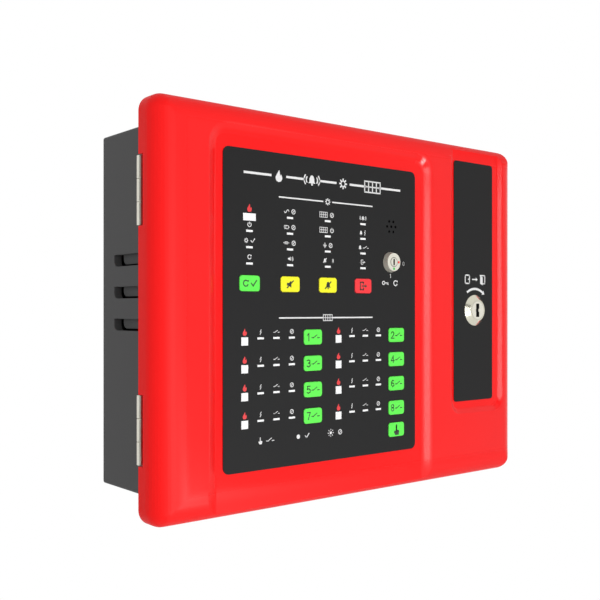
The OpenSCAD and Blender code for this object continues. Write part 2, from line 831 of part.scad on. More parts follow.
module knockouts() {
    for (i = [-2:2]) translate([i * knockout_pitch, box_h / 2, knockout_z]) rotate([90, 0, 0])
        translate([0, 0, -eps]) difference() {
            cylinder(d = knockout_d, h = knockout_groove[1] + eps);
            cylinder(d = knockout_d - 2 * knockout_groove[0], h = 4 * eps);
        }
}

module back_box() {
    color("#4d4d4d") upright() difference() {
        union() {
            difference() {
                slab(box_w, box_h, 2, 0, box_d);
                slab(box_w - 2 * sheet_t, box_h - 2 * sheet_t, 1, sheet_t, box_d - sheet_t);
                slab(box_w - 2 * flange_w, box_h - 2 * flange_w, 3, box_d / 2, box_d + eps);
            }
            for (m = [0, 1]) mirror([m, 0, 0]) louvre_stack(louvre_depth + sheet_t, sheet_t, 0);
        }
        for (m = [0, 1]) mirror([m, 0, 0]) {
            louvre_stack(louvre_depth, 0, eps);
            louvre_slits();
        }
        knockouts();
        for (sx = [-1, 1]) for (sy = [-1, 1])
            translate([sx * wall_span_x / 2, sy * wall_span_z / 2, 0])
                rod(wall_hole_d / 2, -eps, sheet_t + eps);
        translate([0, cable_slot_y, 0])
            slab(cable_slot[0], cable_slot[1], cable_slot[1] / 2 - 0.1, -eps, sheet_t + eps);
        for (y = hinge_at) for (s = leaf_screw_at) translate([leaf_screw_x, y + s, 0])
            rod(small_screw_r + run_clear, box_d - sheet_t - eps, box_d + eps);
    }
}

// Main board and what it carries
module main_board_plate() {
    color("#1f6b3a") upright() difference() {
        translate([board_x, board_y, 0])
            slab(main_board[0], main_board[1], 2, board_z, board_top_z);
        at_each(spacer_at) rod(small_screw_r + hole_clear, board_z - eps, board_top_z + eps);
    }
}

module board_spacers() {
    color("silver") upright() at_each(spacer_at) difference() {
        translate([0, 0, sheet_t]) cylinder(d = spacer_d / cos(30), h = spacer_h, $fn = 6);
        rod(small_screw_r + run_clear, sheet_t + 2, board_z + eps);
    }
}

module board_screws() {
    color("silver") upright() at_each(spacer_at) translate([0, 0, board_top_z]) mirror([0, 0, 1])
        pan_screw(small_screw_r, small_head_r, small_head_h, 0, main_board[2] + screw_bite);
}

// Row of screw terminals with a stepped body, a screw well and a wire mouth for each way
module terminal_row(ways, pitch) {
    body = [8.4, 10.5];
    step = [4, 3.5];
    well_r = 1.5;
    mouth = 3.2;
    w = ways * pitch;
    difference() {
        translate([-w / 2, -body[0] / 2, 0]) cube([w, body[0], body[1]]);
        translate([-w / 2 - eps, body[0] / 2 - step[0] + eps, body[1] - step[1]])
            cube([w + 2 * eps, step[0], step[1] + eps]);
        for (i = [0:ways - 1]) translate([(i + 0.5) * pitch - w / 2, 0, 0]) {
            translate([0, -body[0] / 2 + 2.3, body[1] - 2.5]) cylinder(r = well_r, h = 4);
            translate([-mouth / 2, body[0] / 2 - 3, 1.5]) cube([mouth, 4, mouth]);
        }
    }
}

module field_terminals() {
    ways = 16;
    pitch = 5;
    color("#2e8b57") upright() for (s = [-1, 1])
        translate([board_x + s * 46, board_y + main_board[1] / 2 - 14, board_top_z])
            terminal_row(ways, pitch);
}

module output_terminals() {
    color("#2e8b57") upright()
        translate([board_x + main_board[0] / 2 - 40, board_y - main_board[1] / 2 + 14, board_top_z])
            mirror([0, 1, 0]) terminal_row(12, 5);
}

module relays() {
    relay = [19, 15.5, 15];
    color("#1f4e79") upright() for (i = [0:2])
        translate([board_x + main_board[0] / 2 - 70 + i * 23, board_y + 2, board_top_z])
            slab(relay[0], relay[1], 1, 0, relay[2]);
}

module capacitors() {
    can_d = 16;
    can_h = 26;
    vent_d = 13;
    color("#26324a") upright() for (i = [0:2])
        translate([board_x - main_board[0] / 2 + 20 + i * 20, board_y - 18, board_top_z])
            difference() {
                cylinder(d = can_d, h = can_h);
                translate([0, 0, can_h - 0.6]) cylinder(d = vent_d, h = 2);
            }
}

module board_chips() {
    color("#202020") upright() {
        translate([board_x - 10, board_y + 6, board_top_z]) chip(34, 13, 3.4, 20);
        for (i = [0:1]) translate([board_x - 76 + i * 28, board_y + 14, board_top_z]) chip(18, 7, 2.4, 8);
    }
}

// Glass fuses held in pairs of clips
module board_fuses() {
    fuse_d = 5.2;
    fuse_len = 20;
    color("#c8c8c8") upright() for (i = [0:2])
        translate([board_x - 22 + i * 11, board_y - main_board[1] / 2 + 22, board_top_z]) {
            translate([0, -fuse_len / 2, fuse_d]) rotate([-90, 0, 0]) cylinder(d = fuse_d, h = fuse_len);
            for (s = [-1, 1]) translate([-fuse_d / 2 - 0.6, s * (fuse_len / 2 - 3) - 2.5, 0])
                cube([fuse_d + 1.2, 5, fuse_d]);
        }
}

module main_header() {
    color("#303030") upright() translate([board_x - 60, board_y - 42, board_top_z])
        box_header(24, 9, 8.5);
}

// Transformer: a three-limbed core, a coil round its middle limb and two feet
module transformer_core() {
    color("#6e6a66") upright() translate([core_x, core_y, core_z]) difference() {
        translate([-core[0] / 2, -core[1] / 2, 0]) cube(core);
        for (s = [-1, 1])
            translate([s * (core_limb + core_window[0]) / 2, 0, core[2] / 2])
                cube([core_window[0], core_window[1], core[2] + 2 * eps], center = true);
    }
}

module transformer_coil() {
    fit = 0.3;
    wide = core_limb + 2 * core_window[0] - 2 * fit;
    high = core_window[1] - 2 * fit;
    color("#b5763a") upright() translate([core_x, core_y, 0]) difference() {
        slab(wide, high, 2, core_z - coil_wrap, core_z + core[2] + coil_wrap);
        translate([-core_limb / 2 - fit, -high, core_z - fit])
            cube([core_limb + 2 * fit, 2 * high, core[2] + 2 * fit]);
    }
}

module transformer_brackets() {
    deep = 30;
    lip = 6;
    color("#9a9a9a") upright() translate([core_x, core_y, 0]) for (m = [0, 1]) mirror([0, m, 0])
        difference() {
            union() {
                translate([-deep / 2, core[1] / 2, sheet_t])
                    cube([deep, bracket_t, core_z + core[2] - sheet_t]);
                translate([-deep / 2, core[1] / 2, sheet_t]) cube([deep, bracket_foot, bracket_t]);
                translate([-deep / 2, core[1] / 2 - lip, core_z - bracket_t])
                    cube([deep, lip + eps, bracket_t]);
            }
            translate([0, core[1] / 2 + bracket_foot - 5, 0])
                cylinder(r = foot_screw_r + hole_clear, h = 4 * bracket_t);
        }
}

foot_screw_r = 1.95;
module transformer_screws() {
    color("silver") upright() for (s = [-1, 1])
        translate([core_x, core_y + s * (core[1] / 2 + bracket_foot - 5), sheet_t + bracket_t])
            mirror([0, 0, 1]) pan_screw(foot_screw_r, 3.4, 2.4, 0, bracket_t);
}

// Mains side
module mains_terminal() {
    color("#e8e4d8") upright() translate([mains_x, mains_y, sheet_t])
        mirror([0, 1, 0]) scale(1.5) terminal_row(3, 6.4);
}

module mains_fuse_holder() {
    base = [30, 12, 6];
    cap_d = 10;
    color("#232323") upright() translate([mains_x, mains_y - 26, sheet_t]) {
        slab(base[0], base[1], 2, 0, base[2]);
        translate([-base[0] / 2 + 3, 0, base[2] + cap_d / 2 - 1]) rotate([0, 90, 0])
            cylinder(d = cap_d, h = base[0] - 6);
    }
}

module earth_stud() {
    stud_r = 2.5;
    color("#c9b25a") upright() translate([mains_x, mains_y + 27, sheet_t]) {
        rod(stud_r, 0, 16);
        rod(6, 0, 1);
        translate([0, 0, 1]) cylinder(d = 8 / cos(30), h = 4, $fn = 6);
    }
}

// Batteries
module battery_case(x0) {
    lid_h = 6;
    tab = [0.8, 6.3];
    color("#3a3d42") upright() translate([x0, -box_in_y, sheet_t]) {
        difference() {
            cube([battery[0], battery[1], battery[2]]);
            translate([-eps, battery[1] - lid_h, battery[2] - 1])
                cube([battery[0] + 2 * eps, 0.8, 1 + eps]);
        }
        for (x = [10, battery[0] - 10]) translate([x - tab[1] / 2, battery[1] - eps, battery[2] / 2])
            cube([tab[1], battery_tab_h + eps, tab[0]]);
    }
}

module battery_left() {
    battery_case(battery_x0);
}

module battery_right() {
    battery_case(battery_x0 + battery[0] + battery_gap);
}

strap_len = 2 * battery[0] + battery_gap;
strap_top_z = sheet_t + battery[2];
module battery_strap() {
    color("#9a9a9a") upright() translate([battery_x0, strap_y - strap_h / 2, 0]) difference() {
        union() {
            translate([-strap_t, 0, strap_top_z]) cube([strap_len + 2 * strap_t, strap_h, strap_t]);
            for (x = [-strap_t, strap_len])
                translate([x, 0, sheet_t]) cube([strap_t, strap_h, battery[2] + strap_t]);
            for (x = [-strap_foot, strap_len])
                translate([x, 0, sheet_t]) cube([strap_foot, strap_h, strap_t]);
        }
        for (x = [-strap_foot / 2 - 1, strap_len + strap_foot / 2 + 1])
            translate([x, strap_h / 2, 0]) cylinder(r = small_screw_r + hole_clear, h = 10);
    }
}

module battery_strap_screws() {
    color("silver") upright()
        for (x = [-strap_foot / 2 - 1, strap_len + strap_foot / 2 + 1])
            translate([battery_x0 + x, strap_y, sheet_t + strap_t]) mirror([0, 0, 1])
                pan_screw(small_screw_r, small_head_r, small_head_h, 0, strap_t);
}

// Key caps by name
green = "#6cf05c";
yellow = "#fbf03c";
rose = "#fb464b";
module key_reset() key_cap(key_at[0], green);
module key_buzzer_silence() key_cap(key_at[1], yellow);
module key_sounder_silence() key_cap(key_at[2], yellow);
module key_evacuate() key_cap(key_at[3], rose);
module key_zone(number) key_cap(key_at[3 + number], green);
module key_touch() key_cap(key_at[12], green);

back_box();
hinge_box_leaves();
hinge_pins();
hinge_box_screws();
main_board_plate();
board_spacers();
board_screws();
field_terminals();
output_terminals();
relays();
capacitors();
board_chips();
board_fuses();
main_header();
transformer_core();
transformer_coil();
transformer_brackets();
transformer_screws();
mains_terminal();
mains_fuse_holder();
earth_stud();
battery_left();
battery_right();
battery_strap();
battery_strap_screws();
door_shell();
main_label();
side_label();
indicator_windows();
indicator_leds();
display_board();
display_screws();
display_chips();
display_header();
tact_switches();
buzzer();
hinge_door_leaves();
hinge_door_screws();
switch_body();
switch_nut();
switch_plug();
lock_body();
lock_nut();
lock_plug();
lock_cam();
cam_screw();
key_reset();
key_buzzer_silence();
key_sounder_silence();
key_evacuate();
key_zone(1);  // key_zone_1
key_zone(2);  // key_zone_2
key_zone(3);  // key_zone_3
key_zone(4);  // key_zone_4
key_zone(5);  // key_zone_5
key_zone(6);  // key_zone_6
key_zone(7);  // key_zone_7
key_zone(8);  // key_zone_8
key_touch();
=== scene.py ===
"""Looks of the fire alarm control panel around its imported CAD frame.

Metres, x right, y into the wall, z up. The door faces -y and the wall is the plane y = 0.
"""
import json
import math

import bmesh
import bpy
import numpy as np
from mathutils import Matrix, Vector


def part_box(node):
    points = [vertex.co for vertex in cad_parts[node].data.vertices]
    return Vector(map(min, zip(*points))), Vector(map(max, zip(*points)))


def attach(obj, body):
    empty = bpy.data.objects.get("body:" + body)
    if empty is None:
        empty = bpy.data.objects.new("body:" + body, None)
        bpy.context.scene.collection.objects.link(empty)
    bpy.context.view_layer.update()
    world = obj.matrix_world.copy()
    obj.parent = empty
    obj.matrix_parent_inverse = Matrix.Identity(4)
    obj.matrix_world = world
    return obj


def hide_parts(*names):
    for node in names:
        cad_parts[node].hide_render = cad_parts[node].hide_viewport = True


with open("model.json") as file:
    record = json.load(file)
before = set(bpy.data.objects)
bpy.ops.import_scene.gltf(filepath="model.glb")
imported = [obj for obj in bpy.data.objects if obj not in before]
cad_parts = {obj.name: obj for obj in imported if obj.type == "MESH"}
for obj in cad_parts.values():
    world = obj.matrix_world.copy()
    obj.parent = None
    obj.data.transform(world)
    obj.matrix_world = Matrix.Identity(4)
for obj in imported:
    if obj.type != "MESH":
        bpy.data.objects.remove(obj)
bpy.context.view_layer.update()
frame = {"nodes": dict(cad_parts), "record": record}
MM = 0.001


# Colours and shader maths

# Sockets of a Mix node that blends colours, by number
MIX_FACTOR, MIX_A, MIX_B, MIX_OUT = 0, 6, 7, 2
WHITE = (1.0, 1.0, 1.0, 1.0)


def tone(r, g, b):
    """A colour written as 0 to 255 screen values, as the linear colour that a socket takes."""
    c = np.array([r, g, b]) / 255.0
    return tuple(np.where(c <= 0.04045, c / 12.92, ((c + 0.055) / 1.055) ** 2.4)) + (1.0,)


def plain_grey(level):
    """A grey written as its linear level."""
    return (level, level, level, 1.0)


class Wire:
    """One output socket of a node tree. Arithmetic on it adds Math nodes."""

    def __init__(self, tree, socket):
        self.tree, self.socket = tree, socket

    def math(self, operation, *values):
        return self.tree.node("ShaderNodeMath", {"operation": operation}, dict(enumerate(values)))

    def __add__(self, other):
        return self.math("ADD", self, other)

    def __sub__(self, other):
        return self.math("SUBTRACT", self, other)

    def __rsub__(self, other):
        return self.math("SUBTRACT", other, self)

    def __mul__(self, other):
        return self.math("MULTIPLY", self, other)

    def __pow__(self, other):
        return self.math("POWER", self, other)

    def __gt__(self, other):
        return self.math("GREATER_THAN", self, other)

    def __lt__(self, other):
        return self.math("LESS_THAN", self, other)

    def __abs__(self):
        return self.math("ABSOLUTE", self)

    def at_least(self, other):
        return self.math("MAXIMUM", self, other)

    def at_most(self, other):
        return self.math("MINIMUM", self, other)

    __radd__ = __add__
    __rmul__ = __mul__


def length(a, b):
    """Length of the slant whose two sides are a and b."""
    return (a * a + b * b) ** 0.5


class Tree:
    """The node tree of a material or of the world."""

    def __init__(self, owner):
        owner.use_nodes = True
        self.nodes, self.links = owner.node_tree.nodes, owner.node_tree.links

    def node(self, kind, settings=None, inputs=None, out=0):
        """Any node: its settings first, then the values or links of its sockets."""
        node = self.nodes.new(kind)
        for key, value in (settings or {}).items():
            setattr(node, key, value)
        for key, value in (inputs or {}).items():
            if isinstance(value, Wire):
                self.links.new(value.socket, node.inputs[key])
            else:
                node.inputs[key].default_value = value
        return Wire(self, node.outputs[out])

    def seen(self):
        """1 for what is seen straight, in a mirror or through glass, 0 for what lights other things."""
        straight, mirrored, through = (
            self.node("ShaderNodeLightPath", out="Is %s Ray" % kind)
            for kind in ("Camera", "Glossy", "Transmission"))
        return (straight + mirrored + through).at_most(1.0)


class Finish(Tree):
    """A procedural material on Object coordinates, built round one Principled shader."""

    def __init__(self, name, **constants):
        self.material = bpy.data.materials.new(name)
        super().__init__(self.material)
        self.shader = self.nodes["Principled BSDF"]
        self.place = self.node("ShaderNodeTexCoord", out="Object")
        self.x, self.y, self.z = (
            self.node("ShaderNodeSeparateXYZ", {}, {0: self.place}, out) for out in "XYZ")
        for socket, value in constants.items():
            self.shader.inputs[socket.replace("_", " ")].default_value = value

    def feed(self, socket, wire):
        self.links.new(wire.socket, self.shader.inputs[socket])

    def surface(self, wire):
        """Shows another shader than the Principled one."""
        self.links.new(wire.socket, self.nodes["Material Output"].inputs["Surface"])

    def noise(self, scale, detail=3.0, rough=0.5):
        """Soft clouds; the scale is about their number to the metre."""
        return self.node("ShaderNodeTexNoise", {},
                         {"Vector": self.place, "Scale": scale, "Detail": detail, "Roughness": rough})

    def bands(self, axis, scale, wander):
        """Waves that follow each other along an axis, bent a little by the wander."""
        return self.node("ShaderNodeTexWave", {"bands_direction": axis},
                         {"Vector": self.place, "Scale": scale, "Distortion": wander, "Detail": 1.0})

    def soft_step(self, value, start, full):
        """0 on the start's side and 1 on the full's side, with a smooth rise between them."""
        return self.node("ShaderNodeMapRange", {"interpolation_type": "SMOOTHSTEP"},
                         {"Value": value, "From Min": start, "From Max": full})

    def blend(self, factor, a, b):
        """Colour a where the factor is 0 and b where it is 1."""
        return self.node("ShaderNodeMix", {"data_type": "RGBA"},
                         {MIX_FACTOR: factor, MIX_A: a, MIX_B: b}, MIX_OUT)

    def bump(self, height, strength, distance):
        self.feed("Normal", self.node("ShaderNodeBump", {}, {
            "Height": height, "Strength": strength, "Distance": distance}))

    def distance_to(self, x, z):
        """Distance from the line through x and z that runs along y."""
        return length(self.x - x, self.z - z)


# Places and sizes that the finishes follow

def middle(node):
    """Centre of a CAD node's box, as x and z."""
    low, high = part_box(node)
    return (low.x + high.x) / 2, (low.z + high.z) / 2


def front(node):
    """How far a CAD node reaches out from the wall."""
    return -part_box(node)[0].y


LOCK, SWITCH = middle("lock_plug"), middle("switch_plug")

# Sounder's holes, up from the key switch, and the radius round them in which the door is painted black as the
# shade inside the holes
GRILLE = (SWITCH[0] + 0.9 * MM, SWITCH[1] + 25.7 * MM)
GRILLE_SHADE_RADIUS = 6.8 * MM

# Door, in from its left, right, top and bottom: where the dull grain of its rounds, and the painted shade
# that deepens their red, start and are full
DULL_SHADED_ROUNDS = ((24 * MM, 12 * MM), (7 * MM, 3 * MM), (18 * MM, 6 * MM), (22 * MM, 8 * MM))
# Door, back from its front: where the painted shade that deepens the red starts and is full, for the recesses
# and all that lies further back
RECESS_SHADE_DEPTH = (1.6 * MM, 2.8 * MM)
# Right walls of the door's recesses: the centre of the wall's corner from the label's corner in x and z,
# and out from that centre the wall's foot, the two sides of its glossy strip, and its lip
MAIN_CORNER, MAIN_WALL = (0.2 * MM, -0.1 * MM), (7.0 * MM, 10.0 * MM, 12.3 * MM, 15.0 * MM)
SIDE_CORNER, SIDE_WALL = (0.4 * MM, 0.6 * MM), (5.6 * MM, 6.6 * MM, 9.5 * MM, 10.4 * MM)
FOOT_EASE, LIP_EASE = 0.7 * MM, 0.3 * MM

# Lock, from its axis: how far its finish reaches, keyway with its waist and sunk part, both painted black as
# shade, seam, collar
LOCK_REACH = 30.0 * MM
KEYWAY_HALF, KEYWAY_RISE = 1.9 * MM, 5.2 * MM
WAIST_RISE, WAIST_SHIFT, WAIST_CUT = 1.1 * MM, 0.6 * MM, 0.3 * MM
SUNK_RADIUS, SUNK_DEPTH = 6.2 * MM, 0.1 * MM
LOCK_SEAM, LOCK_SEAM_HALF = 7.03 * MM, 0.1 * MM
COLLAR_START = 7.2 * MM

# Key switch, from its axis: slot, painted black as shade, seam, rim
SLOT_HALF, SLOT_RISE = 0.7 * MM, 2.4 * MM
SWITCH_SEAM, SWITCH_SEAM_HALF = 3.33 * MM, 0.2 * MM
RIM_START = 6.25 * MM

# Batteries: plated part of the tabs. Fuses: half the glass
TAB_SHOWN = 4.95 * MM
GLASS_HALF = 4.4 * MM


# Finishes that several pieces share

def moulded(name, colour, shade, rough, grain=1500.0, depth=0.12, **constants):
    """Moulded plastic: two close tones mixed by a broad cloud, and a fine spark-eroded grain."""
    f = Finish(name, **constants)
    cloud = f.noise(22.0, detail=2.0)
    f.grain = f.noise(grain, detail=2.0, rough=0.6)
    f.colour = f.blend(cloud * 0.6 + f.grain * 0.4, tone(*colour), tone(*shade))
    f.feed("Base Color", f.colour)
    f.feed("Roughness", f.grain * 0.10 + (rough - 0.05))
    f.bump(f.grain, strength=depth, distance=0.06 * MM)
    return f


def key_plastic(name, colour, shade):
    """Keys: moulded plastic with a very fine, low grain."""
    return moulded(name, colour, shade, 0.45, grain=1800.0, depth=0.06, Specular_IOR_Level=0.25)


def ink(name, colour, shade):
    """Print: a dull film with hardly any grain."""
    return moulded(name, colour, shade, 0.5, grain=2600.0, depth=0.05)


def plated(name, colour, rough, streak=(1.0, 1.0, 1.0)):
    """Plated steel: streaks drawn out along the axes with the small factors, and dull spots."""
    f = Finish(name, Metallic=1.0)
    drawn = f.node("ShaderNodeVectorMath", {"operation": "MULTIPLY"}, {0: f.place, 1: streak})
    lines = f.node("ShaderNodeTexNoise", {}, {"Vector": drawn, "Scale": 900.0, "Detail": 3.0})
    spots = f.noise(120.0)
    dark = tuple(c * 0.82 for c in tone(*colour)[:3]) + (1.0,)
    f.feed("Base Color", f.blend(lines * 0.5 + spots * 0.3, tone(*colour), dark))
    f.feed("Roughness", lines * 0.14 + spots * 0.10 + (rough - 0.1))
    f.bump(lines, strength=0.06, distance=0.03 * MM)
    return f


# Finishes of single pieces

def circuit_board():
    """Board: green mask over lighter copper tracks, drawn as broken bands."""
    f = Finish("board_green")
    upright, level = (f.bands(axis, 160.0, 0.0) > 0.62 for axis in "XZ")
    which = f.noise(150.0, detail=0.0) > 0.5
    routed = f.noise(210.0, detail=0.0) > 0.45
    copper = (which * upright + (1.0 - which) * level) * routed
    f.feed("Base Color", f.blend(copper, tone(22, 88, 46), tone(36, 114, 62)))
    f.feed("Roughness", f.noise(300.0) * 0.1 + 0.28)
    f.bump(copper, strength=0.25, distance=0.04 * MM)
    return f


def wall_edges(f, across, past, foot, strip_start, strip_end, lip):
    """1 along the foot and the lip of a recess's right wall, 0 on the strip between them and elsewhere.
    The distance out is taken across the wall, and past its corner from the corner's centre."""
    out = length(across, past.at_least(0.0))
    edges = f.soft_step(out, strip_start, foot + FOOT_EASE) + f.soft_step(out, strip_end, lip - LIP_EASE)
    return edges * (across > 0.0) * (out > foot) * (out < lip)


def door_finish():
    """Red moulding with painted shade: a deeper red behind its front, in the recesses and beyond, a deeper
    red on its outer rounds, and black where the sounder's holes go through it. Its outer rounds and the edges
    of the recesses' right walls are duller than the rest."""
    f = moulded("door_red", (255, 31, 31), (252, 27, 28), 0.30, grain=1300.0, depth=0.08,
                Specular_IOR_Level=0.2)
    low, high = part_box("door_shell")
    inward = (f.x - low.x, high.x - f.x, high.z - f.z, f.z - low.z)
    dull_and_shade, *others = (f.soft_step(d, *band) for d, band in zip(inward, DULL_SHADED_ROUNDS))
    for band in others:
        dull_and_shade = dull_and_shade.at_least(band)
    # Painted shade: the red deepens on all that lies more than a little behind the front, as in the recesses
    recess_shade = f.soft_step(f.y - low.y, *RECESS_SHADE_DEPTH)
    # Painted shade: the mask that dulls the outer rounds also deepens their red
    red = f.blend(recess_shade, f.blend(dull_and_shade, f.colour, tone(255, 22, 22)), tone(255, 16, 16))
    main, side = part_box("main_label"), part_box("side_label")
    dull_and_shade = dull_and_shade + wall_edges(f, f.x - (main[1].x + MAIN_CORNER[0]), f.z - (main[1].z + MAIN_CORNER[1]),
                             *MAIN_WALL)
    dull_and_shade = dull_and_shade + wall_edges(f, f.x - (side[1].x + SIDE_CORNER[0]), (side[0].z + SIDE_CORNER[1]) - f.z,
                             *SIDE_WALL)
    # Painted shade: black round the sounder's holes, for the shade inside them
    f.feed("Base Color", f.blend(f.distance_to(*GRILLE) < GRILLE_SHADE_RADIUS, red, tone(6, 6, 6)))
    f.feed("Roughness", f.grain * 0.08 + 0.14 + dull_and_shade.at_most(1.0) * 0.36)
    return f


def box_finish():
    """Powder coat: dark grey with an orange-peel bump and a faint sparkle."""
    f = Finish("box_paint", Specular_IOR_Level=0.15)
    peel = f.noise(700.0, detail=2.0)
    spark = f.noise(3200.0, detail=1.0)
    f.feed("Base Color", f.blend(peel * 0.5 + spark * 0.5, tone(79, 79, 80), tone(93, 93, 93)))
    f.feed("Roughness", peel * 0.2 + 0.5)
    f.bump(peel, strength=0.25, distance=0.12 * MM)
    return f


def label_finish():
    """Printed polyester film: near black, with a fine even texture."""
    f = Finish("label_grey", Specular_IOR_Level=0.1)
    tooth = f.noise(2400.0, detail=1.0)
    f.feed("Base Color", f.blend(tooth, tone(33, 33, 34), tone(38, 38, 38)))
    f.feed("Roughness", tooth * 0.1 + 0.5)
    f.bump(tooth, strength=0.08, distance=0.03 * MM)
    return f


def window_finish():
    """Clouded light guide: white with faint bluish clouds."""
    f = Finish("window_white")
    cloud = f.noise(800.0, detail=2.0)
    f.feed("Base Color", f.blend(cloud, tone(255, 255, 255), tone(247, 249, 250)))
    f.feed("Roughness", f.noise(300.0) * 0.1 + 0.25)
    return f


def lock_finish():
    """Plated lock: bright rings turned round each axis, a duller rim on the key switch, and near black
    painted as shade in the keyways, the lock's with a waist that is set to the left, and in the lock's sunk
    part."""
    f = Finish("lock_metal")
    r_lock, r_switch = f.distance_to(*LOCK), f.distance_to(*SWITCH)
    near_lock = r_lock < LOCK_REACH
    near_switch = 1.0 - near_lock
    turned = f.node("ShaderNodeTexNoise", {"noise_dimensions": "1D"},
                    {"W": near_lock * r_lock + near_switch * r_switch, "Scale": 5200.0, "Detail": 2.0})
    spots = f.noise(260.0)
    rise = abs(f.z - LOCK[1])
    waist = rise < WAIST_RISE
    keyway_shade = abs(f.x - LOCK[0] + waist * WAIST_SHIFT) + waist * WAIST_CUT < KEYWAY_HALF
    sunk_shade = (r_lock < SUNK_RADIUS) * (f.y > SUNK_DEPTH - front("lock_plug"))
    lock_seam = (abs(r_lock - LOCK_SEAM) < LOCK_SEAM_HALF) * 0.5
    slot_shade = (abs(f.x - SWITCH[0]) < SLOT_HALF) * (abs(f.z - SWITCH[1]) < SLOT_RISE)
    switch_seam = abs(r_switch - SWITCH_SEAM) < SWITCH_SEAM_HALF
    # Painted shade: near black in the keyways and the lock's sunk part; the two seams are dark joints
    dark = near_lock * (keyway_shade * (rise < KEYWAY_RISE) + sunk_shade + lock_seam) + near_switch * (slot_shade + switch_seam)
    dark = dark.at_most(1.0)
    rim = near_switch * (r_switch > RIM_START)
    collar = near_lock * (r_lock > COLLAR_START) * 0.8
    bright = f.blend(turned * 0.6 + spots * 0.4, tone(236, 233, 220), tone(218, 215, 202))
    bright = f.blend(collar, bright, tone(206, 203, 185))
    f.feed("Base Color", f.blend(dark, bright, tone(4, 4, 3)))
    f.feed("Metallic", 1.0 - dark)
    f.feed("Roughness", turned * 0.06 + spots * 0.04 + 0.14 + dark * 0.6 + rim * 0.34)
    f.bump(turned, strength=0.006, distance=0.02 * MM)
    return f


def core_finish():
    """Laminations: thin dark lines between the stacked sheets, with a varnished sheen."""
    f = Finish("core_steel")
    stack = f.bands("Y", 420.0, 0.4)
    rust = f.noise(60.0, detail=4.0)
    f.feed("Base Color", f.blend(stack * 0.6 + rust * 0.4, tone(120, 114, 108), tone(66, 62, 60)))
    f.feed("Roughness", rust * 0.2 + 0.4)
    f.bump(stack, strength=0.4, distance=0.2 * MM)
    return f


def coil_finish():
    """Tape: overlapping turns round the limb, a little uneven."""
    f = Finish("coil_tape")
    turns = f.bands("Z", 30.0, 1.0)
    f.feed("Base Color", f.blend(turns, tone(196, 140, 62), tone(168, 112, 44)))
    f.feed("Roughness", f.noise(200.0) * 0.2 + 0.3)
    f.bump(turns, strength=0.3, distance=0.4 * MM)
    return f


def battery_finish():
    """Battery: dark moulded case below, plated tabs above the lid."""
    f = Finish("battery_case")
    grain = f.noise(1200.0, detail=2.0)
    tab = f.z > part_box("battery_left")[1].z - TAB_SHOWN
    case = f.blend(grain, tone(54, 57, 62), tone(66, 69, 74))
    f.feed("Base Color", f.blend(tab, case, tone(205, 205, 200)))
    f.feed("Metallic", tab)
    f.feed("Roughness", grain * 0.15 + 0.4)
    f.bump(grain, strength=0.15, distance=0.06 * MM)
    return f


def fuse_finish():
    """Fuse: plated end caps and clips with a clouded glass middle."""
    f = Finish("fuse_metal")
    glass = abs(f.z - middle("board_fuses")[1]) < GLASS_HALF
    grain = f.noise(500.0)
    caps = f.blend(grain, tone(215, 215, 212), tone(190, 190, 188))
    f.feed("Base Color", f.blend(glass, caps, tone(226, 230, 226)))
    f.feed("Metallic", 1.0 - glass)
    f.feed("Roughness", grain * 0.1 + 0.15)
    return f


finishes = {
    "box_paint": box_finish(),
    "hinge_steel": plated("hinge_steel", (226, 222, 209), 0.30, streak=(1.0, 1.0, 0.06)),
    "screw_steel": plated("screw_steel", (205, 205, 202), 0.34),
    "board_green": circuit_board(),
    "terminal_plastic": moulded("terminal_plastic", (46, 140, 86), (38, 122, 74), 0.45),
    "relay_plastic": moulded("relay_plastic", (31, 79, 122), (26, 68, 106), 0.30),
    "capacitor_sleeve": moulded("capacitor_sleeve", (38, 50, 74), (32, 42, 62), 0.28),
    "black_plastic": moulded("black_plastic", (32, 32, 33), (26, 26, 27), 0.5),
    "fuse_metal": fuse_finish(),
    "core_steel": core_finish(),
    "coil_tape": coil_finish(),
    "plated_sheet": plated("plated_sheet", (176, 176, 172), 0.62, streak=(0.08, 1.0, 1.0)),
    "mains_plastic": moulded("mains_plastic", (232, 228, 216), (222, 217, 203), 0.4),
    "earth_brass": plated("earth_brass", (214, 186, 104), 0.3),
    "battery_case": battery_finish(),
    "door_red": door_finish(),
    "label_grey": label_finish(),
    "window_white": window_finish(),
    "lock_metal": lock_finish(),
    "key_green": key_plastic("key_green", (104, 250, 88), (99, 242, 83)),
    "key_yellow": key_plastic("key_yellow", (252, 250, 44), (247, 243, 38)),
    "key_red": key_plastic("key_red", (255, 62, 68), (248, 57, 63)),
}
ink_white = ink("ink_white", (240, 240, 240), (228, 228, 228))
ink_red = ink("ink_red", (238, 52, 56), (226, 46, 50))
ink_dark = ink("ink_dark", (30, 44, 30), (24, 36, 24))
dot_red = moulded("dot_red", (240, 40, 40), (225, 34, 36), 0.35)
dot_green = moulded("dot_green", (46, 200, 70), (40, 184, 62), 0.35)

slot_of = {s["node"]: s["material_slot"] for s in frame["record"]["subparts"]}
body_of = {n: b for b, nodes in frame["record"]["behaviour"]["bodies"].items() for n in nodes}
for name, node in frame["nodes"].items():
    node.data.materials.clear()
    node.data.materials.append(finishes[slot_of[name]].material)


# CAD pieces shown smooth

SHARP_TURN, BROKEN_TURN = math.radians(28.0), math.radians(50.0)
JOIN_WITHIN, CUT_WITHIN = 2e-6, 1e-6
DOOR_CELL = 8.0 * MM
LEAF_EDGE, KEY_EDGE = 0.4 * MM, 0.12 * MM


def placed(name, data):
    """A new object in the scene for that mesh, lamp or camera."""
    item = bpy.data.objects.new(name, data)
    bpy.context.scene.collection.objects.link(item)
    return item


